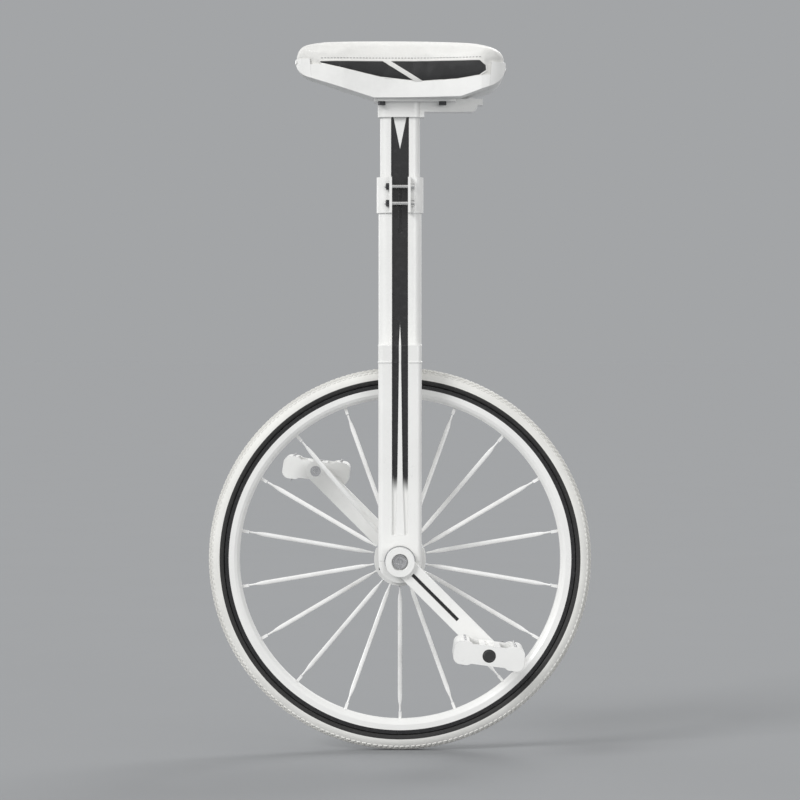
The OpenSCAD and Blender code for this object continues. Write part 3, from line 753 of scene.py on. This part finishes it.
class UNICYCLE_OT_tyre(bpy.types.Operator):
    """Spins the tyre and raises the blocks of its tread"""

    bl_idname = "unicycle.tyre"
    bl_label = "Build the tyre"

    SLICES = 216
    ROW = radians(15)

    def execute(self, context):
        wheel = context.scene.unicycle_wheel
        depth = wheel.tread_depth
        section_r = TYRE_HALF_W - 0.05 * MM
        ring_r = WHEEL_R - section_r - depth
        deselect()
        bpy.ops.mesh.primitive_circle_add(
            vertices=24, radius=section_r, location=(ring_r, 0, AXLE.z),
            rotation=(0, 0, self.ROW / 2))
        tyre = bpy.context.object
        place(tyre)
        edit(tyre, "VERT")
        choose(tyre, lambda p, n: p.x < RIM_R + 0.5 * MM, "verts")
        bpy.ops.mesh.delete(type="VERT")
        lip = RIM_R + 0.25 * MM
        # The bead's place along X and its half width, from the sidewall into the rim
        bead_path = ((lip + 0.2 * MM, 11.6 * MM), (lip, 9.75 * MM),
                     (lip - 2 * MM, 9.7 * MM), (lip - 5.6 * MM, 9.7 * MM))
        for side in (-1, 1):
            mesh = bmesh.from_edit_mesh(tyre.data)
            spot = min((v.co.copy() for v in mesh.verts if v.co.y * side > 0),
                       key=lambda p: p.x)
            choose(tyre, lambda p, n: (p - spot).length < 1e-6, "verts")
            for x, half_w in bead_path:
                goal = Vector((x, side * half_w, AXLE.z))
                bpy.ops.mesh.extrude_region_move(
                    TRANSFORM_OT_translate={"value": goal - spot})
                spot = goal
        bpy.ops.mesh.select_all(action="SELECT")
        bpy.ops.mesh.spin(steps=self.SLICES, dupli=False, angle=2 * pi, center=AXLE,
                          axis=(0, 1, 0))
        clean(tyre, 0.02 * MM)
        apply_modifier(tyre, "SOLIDIFY", thickness=2.2 * MM, offset=-1)
        self.chevrons(tyre, ring_r, section_r)
        self.blocks(tyre, ring_r, section_r, wheel.tread_gap, depth)
        apply_modifier(tyre, "SUBSURF", levels=1, render_levels=1)
        complete(tyre, "block_tread_tyre", "wheel", tyre_rubber(wheel), 40)
        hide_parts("tyre")
        return {"FINISHED"}

    def section(self, point, ring_r):
        """A point's angle round the tyre's section and its distance from the middle."""
        out = hypot(point.x, point.z - AXLE.z) - ring_r
        return atan2(point.y, out), hypot(point.y, out)

    def chevrons(self, tyre, ring_r, section_r):
        """Sweeps the outer rows back so that the blocks lie in a shallow V."""
        edit(tyre, "VERT")
        for ring, degrees in ((1.5, 0.55), (2.5, 1.15), (3.5, 1.65), (4.5, 1.65)):

            def on_ring(point, normal):
                angle, distance = self.section(point, ring_r)
                return (abs(abs(angle) - ring * self.ROW) < self.ROW / 4
                        and distance > section_r - 0.4 * MM)

            choose(tyre, on_ring, "verts")
            bpy.ops.transform.rotate(value=radians(degrees), orient_axis="Y",
                                     center_override=AXLE)
        deselect()

    def blocks(self, tyre, ring_r, section_r, gap, depth):
        edit(tyre, "FACE")

        def in_tread(point, normal):
            angle, distance = self.section(point, ring_r)
            return abs(angle) < 3.4 * self.ROW and distance > section_r - 1 * MM

        choose(tyre, in_tread)
        bpy.ops.mesh.inset(thickness=gap, depth=0, use_individual=True)
        bpy.ops.transform.edge_crease(value=0.75)
        bpy.ops.mesh.inset(thickness=0.2 * MM, depth=depth, use_individual=True)
        bpy.ops.transform.edge_crease(value=0.8)
        deselect()


class UNICYCLE_OT_spokes(bpy.types.Operator):
    """Draws one bladed spoke and laces the wheel with its copies"""

    bl_idname = "unicycle.spokes"
    bl_label = "Lace the spokes"

    HEAD_R = 27.2 * MM
    END_R = 213.8 * MM

    def blade(self, wheel, length):
        """One spoke along +X: headed end, flattened blade, round end."""
        r = 1.3 * MM
        bpy.ops.mesh.primitive_cylinder_add(
            vertices=12, radius=r, depth=length + 0.4 * MM,
            location=(length / 2 - 0.2 * MM, 0, 0), rotation=(0, pi / 2, 0))
        spoke = bpy.context.object
        place(spoke)
        wide, thin = wheel.blade_w / (2 * r), wheel.blade_t / (2 * r)
        # Each ring's distance from the hub's or the rim's end, and how flat the blade is
        hub_end = ((14, 0), (17, 0.22), (20, 0.55), (24, 0.85), (30, 1))
        rim_end = ((34, 1), (29, 0.85), (25, 0.55), (22, 0.22), (20, 0))
        rings = [(x * MM, share) for x, share in hub_end]
        rings += [(length - x * MM, share) for x, share in rim_end]
        edit(spoke, "VERT")
        for x, _ in rings:
            bisect((x, 0, 0), (1, 0, 0))
        for x, share in rings:
            choose(spoke, lambda p, n: abs(p.x - x) < 0.01 * MM, "verts")
            bpy.ops.transform.resize(value=(1, 1 + share * (wide - 1), 1 + share * (thin - 1)),
                                     center_override=(x, 0, 0))
        bpy.ops.mesh.select_mode(type="FACE")
        choose(spoke, lambda p, n: n.x < -0.9)
        bpy.ops.mesh.extrude_region_move()
        bpy.ops.transform.resize(value=(1, 1.62, 1.62), center_override=(-0.4 * MM, 0, 0))
        bpy.ops.mesh.extrude_region_move(TRANSFORM_OT_translate={"value": (-2 * MM, 0, 0)})
        bpy.ops.mesh.bevel(offset=0.5 * MM, segments=2)
        deselect()
        return spoke

    def execute(self, context):
        wheel = context.scene.unicycle_wheel
        run = self.END_R - self.HEAD_R
        tilt = atan2(FLANGE_Y, run)
        length = hypot(FLANGE_Y, run)
        finish = spoke_enamel("spoke_enamel")
        to_world = Matrix.Translation(AXLE) @ Matrix.Rotation(pi / 2, 4, "X")
        for side, name in ((1, "left"), (-1, "right")):
            deselect()
            spots = [
                to_world @ Matrix.Rotation(radians(-90 + k * 360 / SPOKE_COUNT), 4, "Z")
                @ Matrix.Translation((self.HEAD_R, 0, side * FLANGE_Y))
                @ Matrix.Rotation(side * tilt, 4, "Y")
                for k in range(0 if side > 0 else 1, SPOKE_COUNT, 2)]
            row = row_of(self.blade(wheel, length), spots, "bladed_spokes_" + name)
            complete(row, "bladed_spokes_" + name, "wheel", finish, 40)
            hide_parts("spokes_" + name)
        return {"FINISHED"}


class UNICYCLE_OT_wheel_metal(bpy.types.Operator):
    """Finishes the rim, hub, nipples, valve, axle and bearings"""

    bl_idname = "unicycle.wheel_metal"
    bl_label = "Finish the rim, hub and bearings"

    def nipple_lacquer(self):
        """White lacquer on brass, rubbed on the wrench flats' edges."""
        lacquer = (0.82, 0.82, 0.81)
        coat = Finish("nipple_lacquer", lacquer, 0.25, Coat_Weight=0.3)
        rub = coat.both(coat.edges(0.6 * MM), coat.span(coat.noise(200, 4), 0.45, 0.6), 0.7)
        coat.colour(coat.mix(rub, lacquer, (0.6, 0.56, 0.45)))
        coat.metal(rub)
        coat.rough(coat.span(coat.noise(900, 3), 0.3, 0.7, 0.2, 0.35))
        coat.emboss(coat.noise(1500, 2), 0.01 * MM)
        return coat.done()

    def execute(self, context):
        paint = context.scene.unicycle_paint
        dress(rim_coat(paint), "rim")
        dress(powder_coat("hub_paint", paint), "hub_shell", round_by=0.5 * MM)
        dress(self.nipple_lacquer(), "spoke_nipples")
        dress(plated("valve_nickel", (0.74, 0.74, 0.75), 0.22), "valve_stem", "valve_nut")
        dress(moulded("valve_cap_black", (0.02, 0.02, 0.02), 0.45), "valve_cap",
              round_by=0.5 * MM)
        dress(moulded("tape_cloth", (0.035, 0.035, 0.035), 0.8), "rim_tape")
        dress(moulded("tube_butyl", (0.02, 0.02, 0.02), 0.6), "inner_tube")
        dress(brushed("ground_steel", (0.66, 0.67, 0.69), 0.16, (1, 0.1, 1)),
              "inner_race_left", "inner_race_right", "outer_race_left", "outer_race_right",
              "bearing_balls")
        dress(brushed("turned_alloy", (0.76, 0.76, 0.77), 0.28, (1, 0.08, 1)),
              "bearing_spacers", round_by=0.3 * MM)
        dress(plated("axle_oxide", (0.09, 0.09, 0.095), 0.38), "axle", "hub_key")
        dress(moulded("seal_rubber", (0.018, 0.018, 0.018), 0.55), "bearing_seals")
        return {"FINISHED"}


# --- cranks and pedals


class UNICYCLE_OT_cranks_pedals(bpy.types.Operator):
    """Finishes the cranks, pedals and their spindles"""

    bl_idname = "unicycle.cranks_pedals"
    bl_label = "Finish the cranks and pedals"

    def crank_groove(self, side):
        """Black paint in the groove down the middle of a crank arm."""
        half_w = 2 * MM
        floor_y, face_y = 76.4 * MM, 79.2 * MM
        start, end = 21 * MM, 108 * MM

        def mask(paint):
            x, y, z = paint.axes()
            rise = paint.take(z, AXLE.z)
            along = paint.both(paint.take(x, rise), sqrt(0.5) * side)
            across = paint.calc("ABSOLUTE", paint.both(paint.add(x, rise), sqrt(0.5)))
            face = paint.calc("ABSOLUTE", y)
            return paint.both(
                paint.span(across, half_w, half_w + 0.3 * MM, 1, 0),
                paint.span(face, floor_y - 0.1 * MM, floor_y + 0.1 * MM),
                paint.span(face, face_y - 0.2 * MM, face_y + 0.2 * MM, 1, 0),
                paint.span(along, start, start + 1 * MM),
                paint.span(along, end, end + 1 * MM, 1, 0))

        return mask

    def execute(self, context):
        paint = context.scene.unicycle_paint
        for side, name in ((1, "left"), (-1, "right")):
            dress(powder_coat("crank_paint_" + name, paint, self.crank_groove(side), chips=1.0),
                  "crank_" + name, round_by=1.1 * MM)
        dress(powder_coat("pedal_paint", paint, chips=1.4), "pedal_body_left",
              "pedal_body_right", round_by=0.9 * MM)
        dress(plated("pin_steel", (0.6, 0.6, 0.61), 0.3, 0.3), "pedal_pins_left",
              "pedal_pins_right", round_by=0.25 * MM)
        dress(plated("spindle_nickel", (0.7, 0.7, 0.71), 0.2), "pedal_spindle_left",
              "pedal_spindle_right", round_by=0.4 * MM)
        dress(plated("bolt_nickel", (0.7, 0.7, 0.71), 0.24), "crank_bolts", "spindle_nuts",
              round_by=0.4 * MM)
        dress(moulded("bush_acetal", (0.1, 0.1, 0.105), 0.5), "pedal_bushes_left",
              "pedal_bushes_right")
        dress(moulded("cap_black", (0.02, 0.02, 0.02), 0.42), "pedal_cap_left",
              "pedal_cap_right", round_by=0.6 * MM)
        return {"FINISHED"}


class UNICYCLE_OT_fasteners(bpy.types.Operator):
    """Finishes the bolts, nuts and hidden plates"""

    bl_idname = "unicycle.fasteners"
    bl_label = "Finish the bolts and plates"

    def execute(self, context):
        dress(plated("socket_screw_oxide", (0.07, 0.07, 0.075), 0.36), "cap_bolts",
              "clamp_nuts", "bracket_bolts", round_by=0.3 * MM)
        dress(plated("clamp_bolt_zinc", (0.78, 0.78, 0.77), 0.26), "clamp_bolts",
              "bracket_nuts", "bumper_screws", round_by=0.3 * MM)
        dress(brushed("pressed_plate", (0.5, 0.5, 0.52), 0.4, (0.1, 1, 1)), "stiffener_plate")
        dress(moulded("plug_black", (0.02, 0.02, 0.02), 0.5), "post_plug")
        return {"FINISHED"}


# --- saddle


BUMPER_X = 111  # the bumpers cover the pad's ends beyond this, in millimetres
BUMPER_RISE = {-1: 53 * MM, 1: 45 * MM}  # their tops at the nose and at the tail
FRAMES = 20


def seam_rise(x):
    """Height of the seam above the saddle's underside at a place along it."""
    for (x0, z0), (x1, z1) in zip(SEAM, SEAM[1:]):
        if x0 <= x / MM <= x1:
            return (z0 + (z1 - z0) * (x / MM - x0) / (x1 - x0)) * MM
    return SEAM[-1][1] * MM


class UNICYCLE_OT_saddle_pad(bpy.types.Operator):
    """Fills the saddle's pad like a cushion, inside its base and bumpers"""

    bl_idname = "unicycle.saddle_pad"
    bl_label = "Fill the saddle pad"

    def held(self, point):
        """True where the base or a bumper covers the pad."""
        rise = point.z - SEAT_Z
        end = BUMPER_RISE[1 if point.x > 0 else -1]
        return (rise < seam_rise(point.x) + 0.5 * MM
                or abs(point.x / MM) > BUMPER_X and rise < end)

    def execute(self, context):
        saddle = context.scene.unicycle_saddle
        pad = copy_of(NODES["seat_foam"], "saddle_pad")
        pad.modifiers.clear()
        clean(pad)
        edit(pad, "FACE")
        bisect((0, 0, SEAT_Z + 15 * MM), (0, 0, 1), clear_inner=True, use_fill=True)
        deselect()
        apply_modifier(pad, "REMESH", mode="VOXEL", voxel_size=4.5 * MM)
        before = [v.co.copy() for v in pad.data.vertices]
        held = [self.held(p) for p in before]
        free = pad.vertex_groups.new(name="free")
        free.add([i for i, h in enumerate(held) if not h], 1.0, "REPLACE")
        apply_modifier(pad, "SMOOTH", factor=0.5, iterations=8, vertex_group="free")
        pad.vertex_groups.new(name="held").add(
            [i for i, h in enumerate(held) if h], 1.0, "REPLACE")
        self.fill(pad, saddle.swell_cap)
        apply_modifier(pad, "DISPLACE", strength=2.4 * MM, mid_level=0, vertex_group="free")
        self.shape(pad, saddle.crown)
        pad.vertex_groups.clear()
        apply_modifier(pad, "SUBSURF", levels=1, render_levels=1)
        complete(pad, "saddle_pad", "saddle",
                 vinyl("white_vinyl", tuple(saddle.vinyl_white)), 80)
        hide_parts("seat_cover", "seat_foam")
        return {"FINISHED"}

    def fill(self, pad, cap):
        start = [v.co.copy() for v in pad.data.vertices]
        cloth = pad.modifiers.new("filling", "CLOTH")
        cloth.settings.use_pressure = True
        cloth.settings.uniform_pressure_force = 4.0
        cloth.settings.effector_weights.gravity = 0
        cloth.settings.vertex_group_mass = "held"
        cloth.settings.tension_stiffness = 25
        cloth.settings.compression_stiffness = 25
        cloth.settings.bending_stiffness = 2.0
        cloth.point_cache.frame_start, cloth.point_cache.frame_end = 1, FRAMES
        for number in range(1, FRAMES + 1):
            bpy.context.scene.frame_set(number)
        pick(pad)
        bpy.ops.object.modifier_apply(modifier=cloth.name)
        bpy.context.scene.frame_set(1)
        for vertex, old in zip(pad.data.vertices, start):
            moved = vertex.co - old
            if moved.length > cap:
                vertex.co = old + moved.normalized() * cap

    def shape(self, pad, crown):
        """Crowns the top from side to side and brings it to the saddle's height."""
        line = SEAT_Z + 50 * MM
        nose_half, widening, reach = 34 * MM, 42 * MM, 104 * MM
        top = max(v.co.z for v in pad.data.vertices)
        for vertex in pad.data.vertices:
            point = vertex.co
            if point.z > line:
                along = min(1, max(0, (point.x + reach) / (2 * reach)))
                half = nose_half + widening * along
                share = (point.z - line) / (top - line)
                point.z = line + share * (SEAT_TOP - line)
                point.z -= crown * share * min(1, abs(point.y) / half) ** 2.4


class UNICYCLE_OT_saddle_inserts(bpy.types.Operator):
    """Cuts the black side inserts, their diagonal bands and welts from the pad's surface"""

    bl_idname = "unicycle.saddle_inserts"
    bl_label = "Trim the saddle's sides"

    def cut(self, a, b, keep_upper):
        """Cuts along the side-view line from a to b and keeps one side of it."""
        direction = Vector((b[0] - a[0], 0, b[1] - a[1]))
        across = Vector((-direction.z, 0, direction.x)).normalized()
        bisect((a[0] * MM, 0, SEAT_Z + a[1] * MM), across, clear_inner=keep_upper,
               clear_outer=not keep_upper)

    def strip(self, name, side, cuts):
        """A piece of the pad's side, bounded by lines in the side view."""
        piece = copy_of(bpy.data.objects["saddle_pad"], name)
        for key in list(piece.keys()):
            del piece[key]
        edit(piece, "FACE")
        bisect((0, side * 8 * MM, 0), (0, side, 0), clear_inner=True)
        for a, b, upper in cuts:
            self.cut(a, b, upper)
        deselect()
        return piece

    def panel_cuts(self):
        lower = [((x0, z0 + 0.4), (x1, z1 + 0.4), True)
                 for (x0, z0), (x1, z1) in zip(SEAM[1:], SEAM[2:-1])]
        top = (INSERT_TOP[0], INSERT_TOP[1], False)
        ends = [((INSERT_X[0], 60), (INSERT_X[0] + 0.5, 30), True),
                ((INSERT_X[1] + 1, 20), (INSERT_X[1] - 2, 60), True)]
        corners = [((INSERT_X[1] - 9, INSERT_TOP[1][1] + 1), (INSERT_X[1] + 1, 38), False),
                   ((INSERT_X[1] - 10, 25), (INSERT_X[1] + 1, 33), True)]
        return lower + [top] + ends + corners

    def welt(self, strip, name, finish, radius):
        """A round bead along the border of a strip."""
        edging = copy_of(strip, name)
        edit(edging, "EDGE")
        bpy.ops.mesh.select_non_manifold(extend=False)
        bpy.ops.mesh.select_all(action="INVERT")
        bpy.ops.mesh.delete(type="EDGE")
        deselect()
        edit(edging, "VERT")
        bpy.ops.mesh.select_all(action="SELECT")
        bpy.ops.mesh.remove_doubles(threshold=1.2 * MM)
        deselect()
        pick(edging)
        bpy.ops.object.convert(target="CURVE")
        edging = bpy.context.object
        edging.data.bevel_depth = radius
        edging.data.bevel_resolution = 2
        bpy.ops.object.convert(target="MESH")
        edging = bpy.context.object
        clean(edging)
        return complete(edging, name, "saddle", finish, 60)

    def raise_piece(self, piece, height, rounding, name, slot, finish):
        apply_modifier(piece, "SOLIDIFY", thickness=height + 0.8 * MM,
                       offset=(height - 0.8 * MM) / (height + 0.8 * MM))
        apply_modifier(piece, "BEVEL", width=rounding, segments=3, limit_method="ANGLE",
                       angle_limit=radians(50))
        return complete(piece, name, "saddle", finish, 50)

    def execute(self, context):
        saddle = context.scene.unicycle_saddle
        black = vinyl("black_vinyl", tuple(saddle.vinyl_black), 1.3, 0.12, (0.06, 0.06, 0.06))
        white = vinyl("welt_vinyl", tuple(saddle.vinyl_white), 1.0, 0.05)
        panel = self.panel_cuts()
        bands = []
        for side, name in ((-1, "left"), (1, "right")):
            insert = self.strip("side_insert_" + name, side, panel)
            self.welt(insert, "insert_welt_" + name, white, 1.15 * MM)
            band = self.strip("diagonal_" + name, side, [
                ((-26, 49), (20, 21), True), ((-15, 49), (30, 21), False)] + panel[:5])
            bands.append(self.raise_piece(band, 1.6 * MM, 0.8 * MM, "diagonal_band_" + name,
                                          "piping", white))
            self.raise_piece(insert, 0.5 * MM, 0.4 * MM, "side_insert_" + name,
                             "panel_vinyl", black)
            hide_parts("side_panel_" + name)
        for band in bands:
            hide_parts("seat_piping")
        return {"FINISHED"}


class UNICYCLE_OT_saddle_stitching(bpy.types.Operator):
    """Sews a row of stitches above each side insert"""

    bl_idname = "unicycle.saddle_stitching"
    bl_label = "Sew the saddle"

    def thread(self, length):
        """One stitch along X, its two ends dipping into the cover."""
        bpy.ops.mesh.primitive_cylinder_add(vertices=6, radius=0.38 * MM, depth=length,
                                            rotation=(0, pi / 2, 0))
        stitch = bpy.context.object
        place(stitch)
        edit(stitch, "VERT")
        for x in (-0.25 * length, 0, 0.25 * length):
            bisect((x, 0, 0), (1, 0, 0))
        choose(stitch, lambda p, n: abs(p.x) > 0.4 * length, "verts")
        bpy.ops.transform.translate(value=(0, 0, -0.45 * MM))
        bpy.ops.transform.resize(value=(1, 0.6, 0.6), center_override=(0, 0, -0.45 * MM))
        choose(stitch, lambda p, n: abs(p.x) < 0.3 * length, "verts")
        bpy.ops.transform.translate(value=(0, 0, 0.1 * MM))
        deselect()
        return stitch

    def execute(self, context):
        saddle = context.scene.unicycle_saddle
        pad = bpy.data.objects["saddle_pad"]
        mesh = bmesh.new()
        mesh.from_mesh(pad.data)
        surface = BVHTree.FromBMesh(mesh)
        (x0, z0), (x1, z1) = INSERT_TOP
        slope = (z1 - z0) / (x1 - x0)
        step = saddle.stitch
        finish = thread_finish("grey_thread", (0.2, 0.2, 0.21))
        for side, name in ((-1, "left"), (1, "right")):
            spots = []
            count = int((x1 - x0 - 6) * MM / step)
            for k in range(count):
                x = x0 * MM + 4 * MM + k * step
                rise = (z0 + slope * (x / MM - x0) + 3.4) * MM
                outside = Vector((x, side * 0.2, SEAT_Z + rise))
                inwards, ahead = Vector((0, -side, 0)), Vector((MM, 0, 0))
                hit, normal, _, _ = surface.ray_cast(outside, inwards)
                if hit is None:
                    continue
                after = surface.ray_cast(outside + ahead, inwards)[0] or hit + ahead
                way = (after - hit).normalized()
                normal = (normal - way * normal.dot(way)).normalized()
                turn = Matrix((way, normal.cross(way), normal)).transposed().to_4x4()
                spots.append(Matrix.Translation(hit + normal * 0.12 * MM) @ turn)
            deselect()
            row = row_of(self.thread(step * 0.74), spots, "stitches_" + name)
            complete(row, "stitches_" + name, "saddle", finish, 60)
        mesh.free()
        return {"FINISHED"}


class UNICYCLE_OT_saddle_shell(bpy.types.Operator):
    """Finishes the moulded base and the bumpers"""

    bl_idname = "unicycle.saddle_shell"
    bl_label = "Finish the base and bumpers"

    def execute(self, context):
        white = tuple(context.scene.unicycle_paint.white)
        dress(moulded("base_plastic", white, 0.36, 0.03, 0.25), "seat_base",
              round_by=0.6 * MM)
        dress(moulded("bumper_plastic", white, 0.42, 0.04, 0.6, (0.36, 0.36, 0.35)),
              "front_bumper", "rear_bumper", round_by=0.8 * MM)
        return {"FINISHED"}


# --- stage


class UNICYCLE_OT_stage(bpy.types.Operator):
    """Lays a grey floor, hangs soft lights and sets the camera square to the side"""

    bl_idname = "unicycle.stage"
    bl_label = "Set the stage"

    FLOOR_SHARE = 0.32  # how much of the key light's strength the lamps lay on the floor

    # Each lamp's place, its spread in degrees and its share of the key light's strength
    LAMPS = (
        ("key_light", (-2.2, -2.2, 2.2), 24, 1),
        ("fill_light", (1.9, -3.2, 0.66), 30, 0.5),
        ("back_light", (1.2, 2.4, 2.2), 30, 0.8),
        ("side_light", (-2.2, 1.8, 1.2), 35, 0.25),
    )

    def execute(self, context):
        stage = context.scene.unicycle_stage
        deselect()
        bpy.ops.mesh.primitive_plane_add(size=600)
        floor = bpy.context.object
        floor.name = "studio_floor"
        floor.data.materials.append(self.floor_finish(stage))
        context.scene.world = self.room(stage)
        for name, spot, spread, share in self.LAMPS:
            bpy.ops.object.light_add(type="SUN", location=spot)
            light = self.turned(bpy.context.object, name, 0.45)
            light.data.angle = radians(spread)
            light.data.energy = stage.key * share
        bpy.ops.object.camera_add(location=(0, -4.4, 0.52))
        camera = self.turned(bpy.context.object, "side_camera", 0.462)
        camera.data.lens = stage.lens
        camera.data.sensor_width = 36
        context.scene.camera = camera
        context.scene.view_settings.view_transform = "Standard"
        deselect()
        return {"FINISHED"}

    def turned(self, obj, name, height):
        """Names a lamp or camera and turns it to a height on the unicycle's middle line."""
        obj.name = name
        aim = Vector((0, 0, height)) - obj.location
        obj.rotation_euler = aim.to_track_quat("-Z", "Y").to_euler()
        return obj

    def room(self, stage):
        """Even white light, seen by the camera as a wall as bright as the floor."""
        world = bpy.data.worlds.new("studio")
        world.use_nodes = True
        tree = world.node_tree
        light = tree.nodes["Background"]
        light.inputs["Color"].default_value = (1, 1, 1, 1)
        light.inputs["Strength"].default_value = stage.sky
        wall = tree.nodes.new("ShaderNodeBackground")
        wall.inputs["Color"].default_value = (*stage.floor, 1)
        wall.inputs["Strength"].default_value = stage.sky + stage.key * self.FLOOR_SHARE
        path = tree.nodes.new("ShaderNodeLightPath")
        mix = tree.nodes.new("ShaderNodeMixShader")
        tree.links.new(path.outputs["Is Camera Ray"], mix.inputs[0])
        tree.links.new(light.outputs[0], mix.inputs[1])
        tree.links.new(wall.outputs[0], mix.inputs[2])
        tree.links.new(mix.outputs[0], tree.nodes["World Output"].inputs["Surface"])
        return world

    def floor_finish(self, stage):
        floor = Finish("floor_paint", stage.floor, 0.75, Specular_IOR_Level=0.0)
        base = tuple(stage.floor)
        floor.colour(floor.mix(floor.noise(3, 4, 0.6), base, shade(base, 0.97)))
        floor.rough(floor.span(floor.noise(60, 4), 0.3, 0.7, 0.7, 0.85))
        floor.emboss(floor.noise(400, 3), 0.05 * MM)
        return floor.done()


# --- panel and run


STEPS = (
    UNICYCLE_OT_frame_paint, UNICYCLE_OT_weld_beads, UNICYCLE_OT_tyre, UNICYCLE_OT_spokes,
    UNICYCLE_OT_wheel_metal, UNICYCLE_OT_cranks_pedals, UNICYCLE_OT_fasteners,
    UNICYCLE_OT_saddle_pad, UNICYCLE_OT_saddle_inserts, UNICYCLE_OT_saddle_stitching,
    UNICYCLE_OT_saddle_shell, UNICYCLE_OT_stage,
)
SETTINGS = (
    ("unicycle_paint", UnicyclePaint), ("unicycle_wheel", UnicycleWheel),
    ("unicycle_saddle", UnicycleSaddle), ("unicycle_stage", UnicycleStage),
)


class UNICYCLE_PT_builder(bpy.types.Panel):
    """Lists the settings and the building steps"""

    bl_idname = "UNICYCLE_PT_builder"
    bl_label = "Unicycle"
    bl_space_type = "VIEW_3D"
    bl_region_type = "UI"
    bl_category = "Unicycle"

    def draw(self, context):
        for name, group in SETTINGS:
            box = self.layout.box()
            for setting in group.__annotations__:
                box.prop(getattr(context.scene, name), setting)
        for step in STEPS:
            self.layout.operator(step.bl_idname)


def register():
    for name, group in SETTINGS:
        bpy.utils.register_class(group)
        setattr(bpy.types.Scene, name, PointerProperty(type=group))
    for cls in (*STEPS, UNICYCLE_PT_builder):
        bpy.utils.register_class(cls)


def unregister():
    for cls in reversed((*STEPS, UNICYCLE_PT_builder)):
        bpy.utils.unregister_class(cls)
    for name, group in reversed(SETTINGS):
        delattr(bpy.types.Scene, name)
        bpy.utils.unregister_class(group)


def main():
    register()
    bpy.ops.unicycle.frame_paint()
    bpy.ops.unicycle.weld_beads()
    bpy.ops.unicycle.tyre()
    bpy.ops.unicycle.spokes()
    bpy.ops.unicycle.wheel_metal()
    bpy.ops.unicycle.cranks_pedals()
    bpy.ops.unicycle.fasteners()
    bpy.ops.unicycle.saddle_pad()
    bpy.ops.unicycle.saddle_inserts()
    bpy.ops.unicycle.saddle_stitching()
    bpy.ops.unicycle.saddle_shell()
    bpy.ops.unicycle.stage()


if __name__ == "__main__":
    main()
